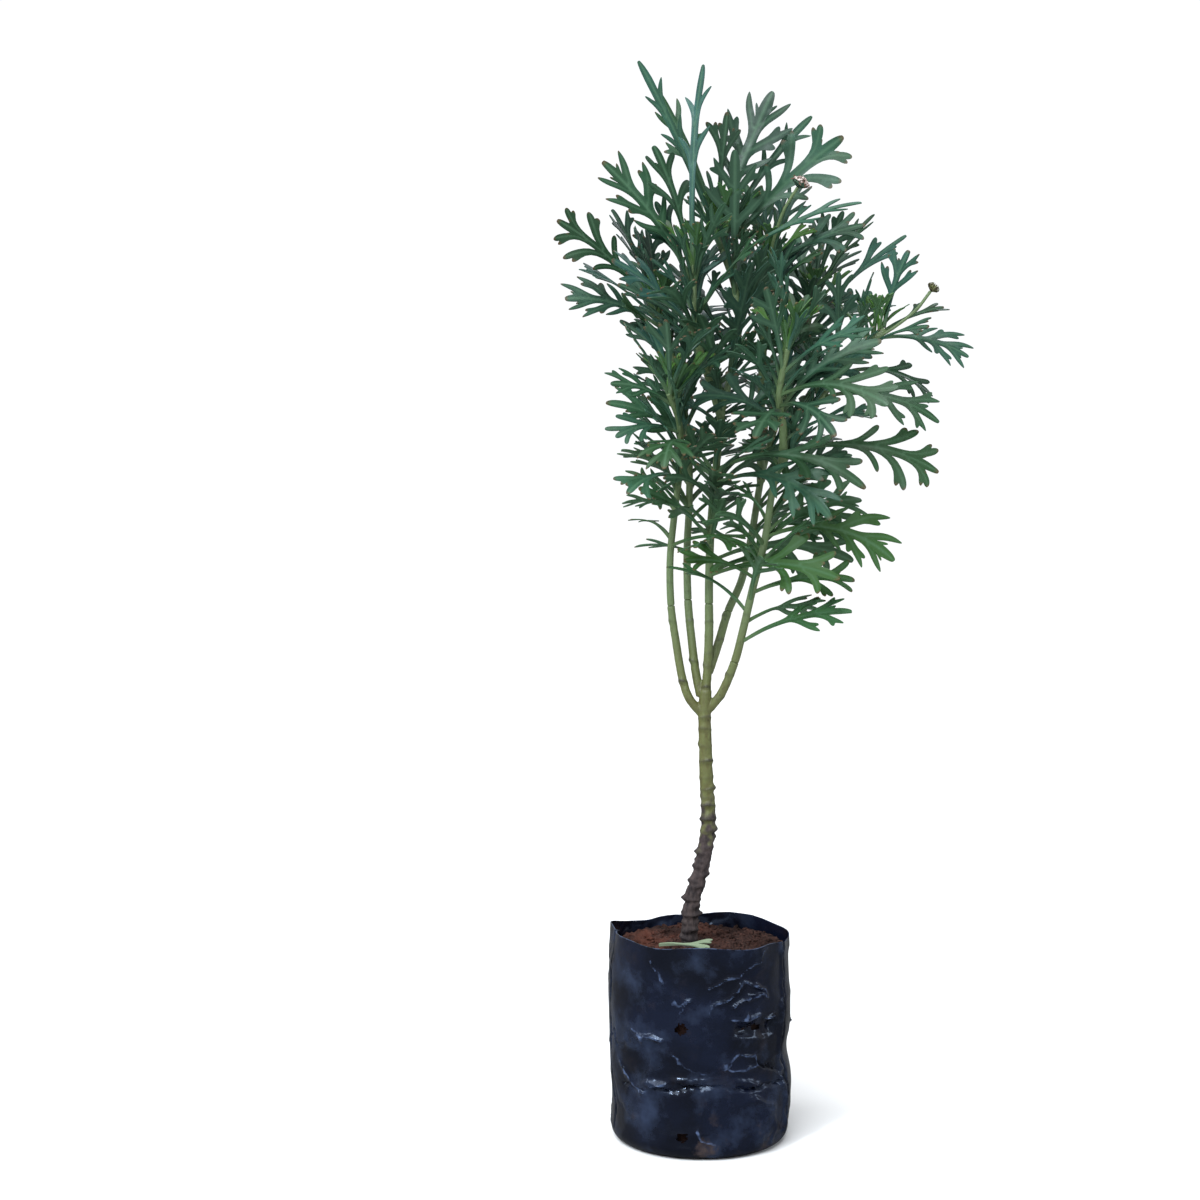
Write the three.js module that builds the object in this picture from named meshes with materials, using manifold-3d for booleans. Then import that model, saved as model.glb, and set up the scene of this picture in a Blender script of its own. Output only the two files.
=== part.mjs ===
// Potted marguerite daisy: a young, trained plant in a black nursery bag of soil.
// Millimetres, +Z up, origin at the middle of the bag's flat base, the plant's front facing -Y.

import * as THREE from "three";
import { mergeVertices } from "three/addons/utils/BufferGeometryUtils.js";
import Module from "manifold-3d";

const wasm = await Module();
wasm.setup();

// Driving dimensions: the bag and what fills it
const BAG_RADIUS = 45.4;
const BASE_RADIUS = 38;
const BASE_ROUND = 7;
const RIM_HEIGHT = 105;
const FILM = 1;
const SOIL_TOP = 98;
const SOIL_LUMP = 1.3;
const GAP = 0.3;
const SOIL_GAP = 0.5;
const BAG_SIDES = 32;

// Driving dimensions: the woody stem and its branches
const TRUNK_FOOT = 72;
const TRUNK_RADIUS_LOW = 4.3;
const TRUNK_RADIUS_HIGH = 3.1;
const SCAR_SPACING = 7.5;
const SCAR_SWELL = 0.14;
const BRANCH_RADIUS_LOW = 2.35;
const BRANCH_RADIUS_HIGH = 1.5;
const STALK_RADIUS = 0.9;

// Driving dimensions: a leaf 60 mm long, which the others are scaled from
const LEAF_LENGTH = 60;
const LEAF_THICKNESS = 0.8;
const PETIOLE_HALF_WIDTH = 1.15;
const RIB_HALF_WIDTH = 1.9;
const LOBE_HALF_WIDTH = 2.1;
const LOBE_STAGGER = 2.5;
const LEAF_FOLD = 0.16;
const LEAF_DROOP = 0.004;
const TWIST_END = 0.4;
const PETIOLE_STATION = 12;
const LOBE_FOOT = 2;
const LOBE_SHOULDER = 0.78;
const TIP_LOBE = 5;

// Edges shorter than this are smoothed away where solids meet
const SMALLEST_EDGE = 0.05;

// Driving dimensions: how the leaves stand to each other
const ROOT_START = 1;
const ROOT_LENGTH = 11;
const SAME_BRANCH_CLEARANCE = 3.7;
const OTHER_BRANCH_CLEARANCE = 5.3;
const GOLDEN_ANGLE = 137.5;
const SEED = 101;

// Height of the bag's rim round the bag: degrees from +X towards +Y, millimetres above the base
const RIM = [
  [0, 101.5],
  [50, 105.5],
  [90, 103.5],
  [125, 102],
  [180, 108.5],
  [225, 105.5],
  [270, 106],
  [315, 105],
  [360, 101.5],
];

// Bulges and dents of the filled film: degrees round, height, degrees wide, height wide, push outwards
const BULGES = [
  [0, 49, 38, 9, -2],
  [5, 27, 45, 12, 1.4],
  [180, 78, 50, 20, 1.6],
  [185, 22, 50, 18, -2],
  [262, 62, 40, 16, 0.8],
  [300, 40, 36, 7, -1],
  [95, 50, 60, 22, 1.2],
  [60, 24, 40, 10, -1.3],
  [135, 88, 36, 12, -1.2],
];

// Centre lines of the stems, each from its root to its tip
const STEMS = {
  trunk: [
    [-6.5, 0, TRUNK_FOOT],
    [-5.5, 0, 98.5],
    [-4, 0, 120],
    [-0.5, 0, 132.5],
    [3.5, 0, 152.5],
    [4, 0, 167.5],
    [3, 0, 182.5],
    [2.5, 0, 197.5],
    [2, 0, 215],
    [2.5, 0, 227],
  ],
  leftOuter: [
    [0, 0, 216],
    [-6, 0, 223.5],
    [-9.5, 1, 234.5],
    [-12.4, 2, 251.5],
    [-14.9, 2, 269.5],
    [-15.5, 0, 292.5],
    [-13.6, -4, 315],
    [-10.9, -12, 340.5],
    [-11.8, -22, 360],
    [-17.5, -32, 375],
  ],
  leftInner: [
    [0, 1, 224],
    [-2.4, 3, 236],
    [-4.3, 5, 251],
    [-6.2, 8, 272],
    [-6.6, 10, 298],
    [-5.5, 12, 322],
    [-6, 14, 352],
    [-11, 16, 383],
    [-18, 16, 406],
    [-22.7, 14, 417],
  ],
  leader: [
    [2.5, 0, 222],
    [4, 0, 252.5],
    [4, 0, 282.5],
    [4.9, -2, 312.5],
    [7.3, -4, 340.5],
    [9.7, -6, 366.5],
    [14, -6, 383.5],
    [17.7, -5, 405],
    [15.8, -3, 427.5],
    [9.5, 0, 446.5],
    [7.5, 0, 456.5],
  ],
  leaderSide: [
    [9.4, -6, 363.5],
    [4, -10, 380],
    [-2, -14, 397],
    [-4.7, -16, 416.5],
    [-4.7, -16, 437.5],
  ],
  right: [
    [3.5, 0, 217],
    [10.4, -2, 226],
    [16.7, -5, 242],
    [20.5, -7, 257.5],
    [25, -9, 278],
    [31, -10, 303],
    [35.7, -10, 332.5],
    [43.8, -8, 347.5],
    [55, -4, 367.5],
    [72, 2, 388.5],
    [91, 6, 407.5],
  ],
  rightFront: [
    [39.5, -10, 339.5],
    [38.7, -22, 357.5],
    [35.7, -34, 374.5],
    [38.9, -42, 396],
  ],
  back: [
    [4, 1, 236],
    [9.4, 8, 250.5],
    [14.3, 14, 265.5],
    [21.8, 20, 282],
    [27.3, 26, 306],
    [33, 32, 337],
    [42.6, 38, 368],
    [53.3, 42, 399],
    [59.5, 42, 425],
  ],
  backUpright: [
    [31.9, 31, 331],
    [31.2, 24, 362.5],
    [31.8, 18, 398],
    [33.6, 14, 423],
    [33.4, 12, 442],
  ],
};

// Bare flower stalks, each from the shoot that carries it to the head
const WITHERED_STALK = [
  [33, 13, 431],
  [34.6, 4, 447],
  [39.5, -3, 464],
  [46.5, -6, 476],
];
const BUD_STALK = [
  [84, 5, 401],
  [95.5, 3, 408],
  [106, 2, 416.5],
  [113.5, 2, 426],
];

// The leafy nodes: a main shoot, which starts above its bare stretch at the share of its line that
// "from" gives, with the side shoot and the flower stalk that grow from it
const LEAFY_BRANCHES = [
  { node: "leafy_branch_centre", main: "leader", from: 0.16, side: "leaderSide" },
  { node: "leafy_branch_left_inner", main: "leftInner", from: 3 / 9 },
  { node: "leafy_branch_right", main: "right", from: 0.2, side: "rightFront", stalk: BUD_STALK },
  { node: "leafy_branch_back", main: "back", from: 0.25, side: "backUpright", stalk: WITHERED_STALK },
  { node: "leafy_branch_left_outer", main: "leftOuter", from: 4 / 9 },
];

// Lobes of each kind of leaf, in pairs up the rib: where on the rib, degrees off it, reach, blunt or not
const LEAF_KINDS = {
  broad: [
    [24, 50, 14, false],
    [33, 45, 20, true],
    [44, 36, 15, false],
  ],
  five: [
    [28, 45, 18, false],
    [41, 36, 15, false],
  ],
  slim: [
    [30, 35, 12, false],
    [42, 30, 11, false],
  ],
  three: [[36, 38, 17, false]],
  young: [[34, 28, 12, false]],
};

// Leaves set where they stand on the plant: stem, height of the root on it, tip, kind, twist of the
// blade on its stalk, and bend
const PLACED_LEAVES = [
  ["leader", 444, [-35, -6, 535], "slim", -60, 14],
  ["leader", 452, [38, 4, 522], "broad", 60, 18],
  ["leader", 444, [72, -4, 500], "broad", 50, 22],
  ["leader", 439, [77, -6, 468], "slim", 40, 30],
  ["leader", 455, [12, 6, 512], "three", 0, 12],
  ["leader", 428, [18, -14, 493], "five", 0, 20],
  ["leader", 448, [54, 12, 515], "slim", 50, 20],
  ["leader", 450, [-20, 14, 529], "slim", -40, 15],
  ["leaderSide", 435, [-2, -12, 534], "slim", 0, 20],
  ["leaderSide", 428, [-50, -12, 487], "broad", -50, 25],
  ["leaderSide", 431, [-25, 2, 497], "five", -30, 20],
  ["leaderSide", 405, [-45, -34, 437], "five", -45, 30],
  ["leaderSide", 402, [-42, -10, 428], "three", -40, 30],
  ["leaderSide", 411, [29, -44, 450], "three", 40, 25],
  ["leaderSide", 431, [-2, -40, 446], "young", 0, 30],
  ["leader", 380, [22, -40, 437], "broad", 25, 28],
  ["leader", 398, [30, -44, 441], "broad", 0, 25],
  ["leader", 334, [7, -30, 362], "broad", 0, 45],
  ["leader", 333, [30, -46, 349], "five", 30, 45],
  ["leader", 331, [62, -40, 315], "broad", 45, 75],
  ["leader", 338, [74, -34, 327], "five", 45, 70],
  ["leader", 303, [-31, -14, 327], "five", -50, 40],
  ["leader", 285, [66, -27, 287], "five", 50, 40],
  ["leader", 300, [11, -34, 324], "three", 0, 35],
  ["leftInner", 416, [-71, 10, 463], "broad", -55, 25],
  ["leftInner", 417, [-45, 24, 468], "five", -30, 20],
  ["leftInner", 411, [-61, 0, 437], "three", -50, 30],
  ["leftInner", 408, [-68, 14, 422], "broad", -50, 45],
  ["leftInner", 397, [-40, -4, 419], "three", -40, 35],
  ["leftInner", 415, [-26, 34, 459], "five", 0, 20],
  ["leftInner", 405, [-30, 50, 446], "five", 0, 30],
  ["leftOuter", 374, [2, -62, 405], "broad", 20, 45],
  ["leftOuter", 373, [-18, -52, 409], "three", 0, 25],
  ["leftOuter", 371, [10, -56, 392], "five", 40, 40],
  ["leftOuter", 369, [-45, -40, 378], "five", -50, 45],
  ["leftOuter", 356, [-42, -36, 353], "five", -50, 60],
  ["leftOuter", 350, [-22, -64, 339], "broad", 0, 65],
  ["leftOuter", 334, [-38, -30, 327], "three", -40, 50],
  ["rightFront", 374, [82, -70, 367], "broad", 55, 60],
  ["rightFront", 384, [76, -60, 405], "five", 45, 40],
  ["rightFront", 390, [46, -54, 414], "young", 0, 25],
  ["rightFront", 394, [31, -44, 444], "five", 0, 20],
  ["rightFront", 369, [56, -80, 353], "five", 20, 55],
  ["rightFront", 366, [23, -76, 353], "five", 0, 50],
  ["right", 347, [117, -12, 338], "broad", 60, 45],
  ["right", 374, [117, -12, 362], "five", 55, 50],
  ["right", 386, [117, 14, 375], "five", 45, 55],
  ["right", 403, [132, -6, 394], "broad", 45, 40],
  ["right", 405, [122, 12, 418], "five", 40, 30],
  ["right", 407, [103, 4, 446], "five", 50, 15],
  ["right", 398, [109, -20, 407], "three", 30, 30],
  ["right", 252, [73, -22, 268], "five", 35, 35],
  ["right", 277, [76, -8, 283], "five", 50, 35],
  ["right", 305, [92, -16, 291], "broad", 55, 75],
  ["right", 312, [58, 14, 337], "five", 45, 40],
  ["back", 405, [105, 36, 457], "three", 40, 25],
  ["back", 421, [90, 44, 468], "slim", 40, 22],
  ["back", 418, [80, 72, 450], "five", 0, 35],
  ["back", 424, [68, 58, 467], "five", 0, 20],
  ["back", 400, [98, 66, 424], "broad", 30, 40],
  ["back", 411, [54, 76, 460], "five", 0, 28],
  ["backUpright", 436, [81, 6, 460], "five", 45, 35],
  ["backUpright", 440, [52, 27, 484], "slim", 40, 18],
  ["backUpright", 441, [44, 14, 478], "young", 0, 18],
  ["backUpright", 438, [22, 34, 482], "five", 0, 20],
  ["backUpright", 424, [58, -12, 443], "three", 40, 35],
];

// Leaves set round each stem by rule: stem, lowest and highest root, how many are tried
const RULED_LEAVES = [
  ["leader", 292, 455, 16],
  ["leaderSide", 384, 436, 7],
  ["leftInner", 318, 416, 17],
  ["right", 268, 406, 13],
  ["rightFront", 358, 395, 5],
  ["back", 296, 424, 13],
  ["backUpright", 352, 441, 12],
  ["leftOuter", 306, 374, 12],
];

// The crown's outline as seen from the front: height, leftmost and rightmost x
const CROWN = [
  [255, -6, 60],
  [275, -28, 80],
  [300, -38, 94],
  [325, -46, 96],
  [350, -50, 118],
  [375, -52, 118],
  [400, -58, 132],
  [425, -68, 122],
  [450, -70, 104],
  [475, -54, 84],
  [500, -46, 72],
  [524, -36, 44],
  [536, -20, 24],
];
const CROWN_DEPTH_SHARE = 0.38;

const rad = THREE.MathUtils.degToRad;
const at = (x, y, z) => new THREE.Vector3(x, y, z);

// Seeded draws, alike on every run
let drawState = SEED;
function draw(low, high) {
  drawState = (drawState * 48271) % 2147483647;
  return low + (drawState / 2147483647) * (high - low);
}

// The value at x in rows of [x, value...], linear between the rows
function between(rows, x, column = 1) {
  const last = rows.length - 1;
  if (x <= rows[0][0]) return rows[0][column];
  if (x >= rows[last][0]) return rows[last][column];
  const i = rows.findIndex((row) => row[0] > x);
  const share = (x - rows[i - 1][0]) / (rows[i][0] - rows[i - 1][0]);
  return rows[i - 1][column] + share * (rows[i][column] - rows[i - 1][column]);
}

// Solids and meshes
function toSolid(geometry) {
  const bare = geometry.clone();
  bare.deleteAttribute("normal");
  bare.deleteAttribute("uv");
  const merged = mergeVertices(bare, 1e-4);
  return new wasm.Manifold(
    new wasm.Mesh({
      numProp: 3,
      vertProperties: merged.attributes.position.array,
      triVerts: new Uint32Array(merged.index.array),
    }),
  );
}

function toMesh(name, solid, material) {
  const { vertProperties, triVerts } = solid.getMesh();
  const geometry = new THREE.BufferGeometry();
  geometry.setAttribute("position", new THREE.BufferAttribute(new Float32Array(vertProperties), 3));
  geometry.setIndex(new THREE.BufferAttribute(new Uint32Array(triVerts), 1));
  geometry.computeVertexNormals();
  const mesh = new THREE.Mesh(geometry, material);
  mesh.name = name;
  return mesh;
}

// The solid as one surface, without the slivers that a union or a cut leaves
function withoutSlivers(solid) {
  return solid.asOriginal().simplify(SMALLEST_EDGE);
}

// The largest body of a union: hollows that it seals are filled, and loose scraps fall away
function join(solids) {
  const bodies = withoutSlivers(solids.reduce((all, solid) => all.add(solid))).decompose();
  return bodies.reduce((largest, body) => (body.volume() > largest.volume() ? body : largest));
}

function moveVertices(geometry, move) {
  const position = geometry.attributes.position;
  const p = new THREE.Vector3();
  for (let i = 0; i < position.count; i++) {
    move(p.fromBufferAttribute(position, i));
    position.setXYZ(i, p.x, p.y, p.z);
  }
  return geometry;
}

// The bag and the soil share one crumpled form
function bulge(degrees, z) {
  let push = 0.5 * Math.sin(rad(2 * degrees) + z / 23) + 0.35 * Math.sin(rad(5 * degrees) - z / 15);
  for (const [round, height, width, tall, out] of BULGES) {
    const turn = ((degrees - round + 540) % 360) - 180;
    push += out * Math.exp(-((turn / width) ** 2) - ((z - height) / tall) ** 2);
  }
  return push * THREE.MathUtils.smoothstep(z, 1, 10);
}

function crumple(p) {
  const radius = Math.hypot(p.x, p.y);
  const degrees = (THREE.MathUtils.radToDeg(Math.atan2(p.y, p.x)) + 360) % 360;
  const share = radius / BAG_RADIUS;
  const grow = radius > 0 ? 1 + (bulge(degrees, p.z) * share) / radius : 1;
  const lift = THREE.MathUtils.smoothstep(p.z, SOIL_TOP, RIM_HEIGHT) * (between(RIM, degrees) - RIM_HEIGHT);
  p.set(p.x * grow, p.y * grow, p.z + lift);
}

// LatheGeometry turns about Y, so its result is stood up along Z
function turned(profile) {
  const points = profile.map(([radius, z]) => new THREE.Vector2(radius, z));
  return new THREE.LatheGeometry(points, BAG_SIDES).rotateX(Math.PI / 2);
}

// Wall heights that the bag's two faces and the soil have in common
const WALL_ROWS = [BASE_ROUND, 24, 36, 49, 62, 80];

function wallRadius(z) {
  const corner = Math.max(0, 1 - z / BASE_ROUND);
  return BAG_RADIUS - BASE_ROUND * (1 - Math.sqrt(1 - corner * corner));
}

function makeBag() {
  const inner = BAG_RADIUS - FILM;
  const outside = [
    [0, 0],
    [BASE_RADIUS, 0],
    [wallRadius(2), 2],
    ...WALL_ROWS.map((z) => [wallRadius(z), z]),
    [BAG_RADIUS, SOIL_TOP],
    [BAG_RADIUS, RIM_HEIGHT],
  ];
  const inside = [
    [inner, RIM_HEIGHT],
    [inner, SOIL_TOP],
    ...WALL_ROWS.toReversed().map((z) => [wallRadius(z) - FILM, z]),
    [BASE_RADIUS - FILM, FILM],
    [0, FILM],
  ];
  return toSolid(moveVertices(turned([...outside, ...inside]), crumple));
}

function soilLump(x, y) {
  const waves = Math.sin(x / 5.1 + 1.3 * Math.sin(y / 7)) * Math.cos(y / 4.3 + 0.8) + 0.6 * Math.sin(x / 11 - y / 9);
  return SOIL_LUMP * waves;
}

function makeSoil(trunkHole) {
  const clear = FILM + SOIL_GAP;
  const rings = [0.8, 0.55, 0.3];
  const edge = BAG_RADIUS - clear;
  const profile = [
    [0, FILM + GAP],
    [BASE_RADIUS - clear, FILM + GAP],
    ...WALL_ROWS.map((z) => [wallRadius(z) - clear, z]),
    [edge, SOIL_TOP],
    ...rings.map((share) => [edge * share, SOIL_TOP]),
    [0, SOIL_TOP],
  ];
  const soil = moveVertices(turned(profile), (p) => {
    crumple(p);
    const inwards = Math.hypot(p.x, p.y) < edge * 0.95;
    if (p.z > SOIL_TOP - 0.5 && inwards) p.z += soilLump(p.x, p.y);
  });
  return withoutSlivers(toSolid(soil).subtract(trunkHole));
}

// Stems: tapered tubes along smooth lines
const LINES = Object.fromEntries(Object.entries(STEMS).map(([name, points]) => [name, smoothLine(points)]));

function smoothLine(points) {
  return new THREE.CatmullRomCurve3(
    points.map((p) => at(...p)),
    false,
    "catmullrom",
    0.5,
  );
}

function tube(line, from, to, radiusAt, sides, stations) {
  const geometry = new THREE.CylinderGeometry(1, 1, 1, sides, stations);
  return toSolid(
    moveVertices(geometry, (p) => {
      const share = p.y + 0.5;
      const t = from + (to - from) * share;
      const tangent = line.getTangent(t);
      const side = at(0, 1, 0).cross(tangent).normalize();
      const other = side.clone().cross(tangent);
      const radius = radiusAt(share, line.getPoint(t).z);
      const { x, z } = p;
      p.copy(line.getPoint(t));
      p.addScaledVector(side, x * radius).addScaledVector(other, z * radius);
    }),
  );
}

// Radius of a branch at a share of its whole line
const branchRadius = (share) => BRANCH_RADIUS_LOW + (BRANCH_RADIUS_HIGH - BRANCH_RADIUS_LOW) * share;

function branchTube(line, from, to, stations) {
  return tube(line, from, to, (share) => branchRadius(from + (to - from) * share), 5, stations);
}

// Swollen rings where the lowest leaves fell off, fading up the stem
function trunkRadius(share, z) {
  const plain = TRUNK_RADIUS_LOW + (TRUNK_RADIUS_HIGH - TRUNK_RADIUS_LOW) * share;
  const fade = 1 - 0.5 * THREE.MathUtils.smoothstep(z, 150, 190);
  return plain * (1 + SCAR_SWELL * fade * Math.cos((2 * Math.PI * z) / SCAR_SPACING));
}

const TRUNK_STATIONS = 30;

function makeMainStem() {
  const pieces = [tube(LINES.trunk, 0, 1, trunkRadius, 7, TRUNK_STATIONS)];
  for (const { main, from } of LEAFY_BRANCHES) pieces.push(branchTube(LINES[main], 0, from, 5));
  return join(pieces);
}

// A plain hole in the soil for the foot of the trunk, a little deeper than the foot
function makeTrunkHole() {
  const radius = TRUNK_RADIUS_LOW * (1 + SCAR_SWELL) + GAP;
  const hole = tube(LINES.trunk, 0, 0.3, () => radius, 12, 10);
  const floor = new THREE.CylinderGeometry(radius, radius, 2, 12).rotateX(Math.PI / 2);
  return hole.add(toSolid(floor.translate(STEMS.trunk[0][0], 0, TRUNK_FOOT + 1 - GAP)));
}

// The point of a stem's middle line at a height, found by halving, as every stem only rises
function pointOn(line, height) {
  let low = 0;
  let high = 1;
  for (let i = 0; i < 30; i++) {
    const middle = (low + high) / 2;
    if (line.getPoint(middle).z < height) low = middle;
    else high = middle;
  }
  return line.getPoint(low);
}

// A leaf in its place: an upright arc from its root in the stem to its tip, whose blade is twisted on
// the stalk, so that it shows its face or its edge
function poseLeaf(middle, tip, kind, twist, bend) {
  const chord = tip.clone().sub(middle).normalize();
  const root = middle.clone().addScaledVector(chord, ROOT_START);
  const reach = tip.distanceTo(root);
  const across = chord.clone().cross(at(0, 0, 1)).normalize();
  const up = across.clone().cross(chord);
  const half = rad(bend) / 2;
  const start = chord.clone().multiplyScalar(Math.cos(half)).addScaledVector(up, Math.sin(half));
  const lift = up.clone().multiplyScalar(Math.cos(half)).addScaledVector(chord, -Math.sin(half));
  const radius = reach / (2 * Math.sin(half));
  return { root, kind, twist: rad(twist), turn: 2 * half, length: radius * 2 * half, radius, start, lift };
}

// Takes a point of the flat leaf, u along the rib, v across and w above it, to its place
function placeOnLeaf(leaf, u, v, w) {
  const angle = (leaf.turn * u) / leaf.length;
  const [sine, cosine] = [Math.sin(angle), Math.cos(angle)];
  const along = leaf.start.clone().multiplyScalar(cosine).addScaledVector(leaf.lift, -sine);
  const twisted = leaf.twist * THREE.MathUtils.smoothstep(u / leaf.length, 0, TWIST_END);
  const above = leaf.lift.clone().multiplyScalar(cosine).addScaledVector(leaf.start, sine);
  above.applyAxisAngle(along, twisted);
  const across = above.clone().cross(along);
  return leaf.root
    .clone()
    .addScaledVector(leaf.start, leaf.radius * sine)
    .addScaledVector(leaf.lift, -leaf.radius * (1 - cosine))
    .addScaledVector(across, v)
    .addScaledVector(above, w + LEAF_FOLD * Math.abs(v) - LEAF_DROOP * v * v);
}

// Where a lobe leaves the rib and where it ends, on a leaf of the given length
function lobeEnds(leaf, [start, degrees, reach], sign) {
  const along = leaf.length / LEAF_LENGTH;
  const wide = Math.sqrt(along);
  const u = (start + (sign < 0 ? LOBE_STAGGER : 0)) * along;
  const end = [u + reach * Math.cos(rad(degrees)) * wide, sign * reach * Math.sin(rad(degrees)) * wide];
  return { u, end, wide };
}

// One edge of a leaf from its root to just before its tip, in stretches: a point of the rib's edge, and
// the points of the lobe that starts there
function leafEdge(leaf, sign) {
  const along = leaf.length / LEAF_LENGTH;
  const lobes = LEAF_KINDS[leaf.kind].map((lobe) => {
    const { u, end, wide } = lobeEnds(leaf, lobe, sign);
    const rib = [u - LOBE_FOOT * along, sign * RIB_HALF_WIDTH];
    if (!lobe[3]) return [rib, end];
    const angle = rad(lobe[1]);
    const outwards = LOBE_HALF_WIDTH * wide;
    const shoulder = [
      u + (end[0] - u) * LOBE_SHOULDER - Math.sin(angle) * outwards,
      end[1] * LOBE_SHOULDER + sign * Math.cos(angle) * outwards,
    ];
    return [rib, shoulder, end];
  });
  const lastLobe = LEAF_KINDS[leaf.kind].at(-1);
  return [
    [[0, sign * PETIOLE_HALF_WIDTH]],
    [[PETIOLE_STATION * along, sign * PETIOLE_HALF_WIDTH]],
    ...lobes,
    [[lobeEnds(leaf, lastLobe, sign).u + TIP_LOBE * along, sign * RIB_HALF_WIDTH]],
    [[leaf.length - TIP_LOBE * along, sign * LOBE_HALF_WIDTH]],
  ];
}

// Triangles of a flat leaf, each within one lobe or one stretch of the rib. The outline runs up the right
// edge to the tip and down the left one, and starts holds the places of the rib's points on it.
function leafTriangles(starts) {
  const tip = starts.at(-1);
  const triangles = [];
  for (let i = 0; i + 1 < starts.length; i++) {
    const [from, to] = [starts[i], starts[i + 1]];
    if (to < tip) triangles.push([from, to, 2 * tip - to]);
    triangles.push([from, 2 * tip - to, 2 * tip - from]);
    for (let k = from + 1; k < to; k++) {
      triangles.push([to, k - 1, k]);
      triangles.push([2 * tip - to, 2 * tip - k, 2 * tip - k + 1]);
    }
  }
  return triangles;
}

function makeLeaf(leaf) {
  const [right, left] = [leafEdge(leaf, -1), leafEdge(leaf, 1)];
  const outline = [...right.flat(), [leaf.length, 0], ...left.flat().reverse()];
  const count = outline.length;
  const starts = [0];
  for (const stretch of right) starts.push(starts.at(-1) + stretch.length);
  const below = outline.map(([u, v]) => placeOnLeaf(leaf, u, v, -LEAF_THICKNESS / 2));
  const above = outline.map(([u, v]) => placeOnLeaf(leaf, u, v, LEAF_THICKNESS / 2));
  const faces = leafTriangles(starts).flatMap(([a, b, c]) => [
    [a + count, b + count, c + count],
    [c, b, a],
  ]);
  for (let i = 0; i < count; i++) {
    const next = (i + 1) % count;
    faces.push([i, next, next + count]);
    faces.push([i, next + count, i + count]);
  }
  const blade = new THREE.BufferGeometry().setFromPoints([...below, ...above]);
  return toSolid(blade.setIndex(faces.flat()));
}

// Points along the ribs of a leaf, which stand for it where room is claimed
function ribPoints(leaf) {
  const points = [];
  for (let u = 3; u <= leaf.length; u += 3) points.push({ at: placeOnLeaf(leaf, u, 0, 0), root: u < ROOT_LENGTH });
  for (const lobe of LEAF_KINDS[leaf.kind]) {
    for (const sign of [1, -1]) {
      const { u, end } = lobeEnds(leaf, lobe, sign);
      for (const share of [0.25, 0.5, 0.75, 1]) {
        points.push({ at: placeOnLeaf(leaf, u + (end[0] - u) * share, end[1] * share, 0), root: false });
      }
    }
  }
  return points;
}

// Room that stems and leaves have claimed so far
const claimed = [];

function claim(points, node) {
  points.forEach((point) => claimed.push({ ...point, node }));
}

function claimStem(line, node) {
  const steps = Math.round(line.getLength() / 3);
  claim(
    line.getSpacedPoints(steps).map((p) => ({ at: p, root: true })),
    node,
  );
}

// A head's middle and the ring round it, a head being in a node of its own
function claimHead(stalk) {
  const line = smoothLine(stalk);
  const middle = line.getPoint(1).addScaledVector(line.getTangent(1), 2.5);
  const ring = Array.from({ length: 6 }, (unused, i) => at(3 * Math.cos(i), 3 * Math.sin(i), 0).add(middle));
  claim(
    [middle, ...ring].map((p) => ({ at: p, root: true })),
    "head",
  );
}

function isClear(points, node) {
  return points.every((p) =>
    claimed.every((q) => {
      if (q.node !== node) return p.at.distanceTo(q.at) > OTHER_BRANCH_CLEARANCE;
      return p.root || q.root || p.at.distanceTo(q.at) > SAME_BRANCH_CLEARANCE;
    }),
  );
}

function insideCrown(points) {
  return points.every(({ at: p }) => {
    const left = between(CROWN, p.z, 1);
    const right = between(CROWN, p.z, 2);
    const depth = (right - left) * CROWN_DEPTH_SHARE;
    const sideways = (2 * p.x - left - right) / (right - left);
    return p.z < CROWN.at(-1)[0] && sideways ** 2 + (p.y / depth) ** 2 < 1.08;
  });
}

function branchOf(stem) {
  return LEAFY_BRANCHES.find(({ main, side }) => stem === main || stem === side).node;
}

// A leaf set by hand keeps its height and side, and moves in depth or twists until it is clear
const DEPTH_STEPS = [0, -7, 7, -14, 14, -21, 21, -28, 28];
const TWIST_STEPS = [0, 25, -25];

function growPlacedLeaves(leaves) {
  for (const [stem, height, tip, kind, twist, bend] of PLACED_LEAVES) {
    const root = pointOn(LINES[stem], height);
    const node = branchOf(stem);
    const tries = DEPTH_STEPS.flatMap((depth) => TWIST_STEPS.map((more) => [depth, more]));
    const leaf = tries
      .map(([depth, more]) => poseLeaf(root, at(tip[0], tip[1] + depth, tip[2]), kind, twist + more, bend))
      .find((candidate) => isClear(ribPoints(candidate), node));
    if (!leaf) continue;
    claim(ribPoints(leaf), node);
    leaves[node].push(leaf);
  }
}

// Round the stem by the golden angle: low leaves long and level, high ones short and upright
function growRuledLeaves(leaves) {
  for (const [stem, lowest, highest, count] of RULED_LEAVES) {
    const node = branchOf(stem);
    const turnFrom = draw(0, 360);
    for (let i = 0; i < count; i++) {
      const share = i / (count - 1);
      const root = pointOn(LINES[stem], lowest + (highest - lowest) * share);
      const kind = chooseKind(share, draw(0, 1));
      for (let attempt = 0; attempt < 9; attempt++) {
        const turn = rad(turnFrom + i * GOLDEN_ANGLE + draw(-12, 12) * (1 + attempt));
        const rise = rad(8 + 62 * share + draw(-10, 12) * (1 + attempt / 4));
        const reach = (70 - 24 * share + draw(-8, 6)) * (1 - attempt * 0.035);
        const tip = at(Math.cos(turn) * Math.cos(rise), Math.sin(turn) * Math.cos(rise), Math.sin(rise));
        const bend = 60 - 42 * share + draw(-10, 15);
        const leaf = poseLeaf(root, tip.multiplyScalar(reach).add(root), kind, draw(-60, 60), bend);
        const points = ribPoints(leaf);
        if (!insideCrown(points) || !isClear(points, node)) continue;
        claim(points, node);
        leaves[node].push(leaf);
        break;
      }
    }
  }
}

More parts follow.
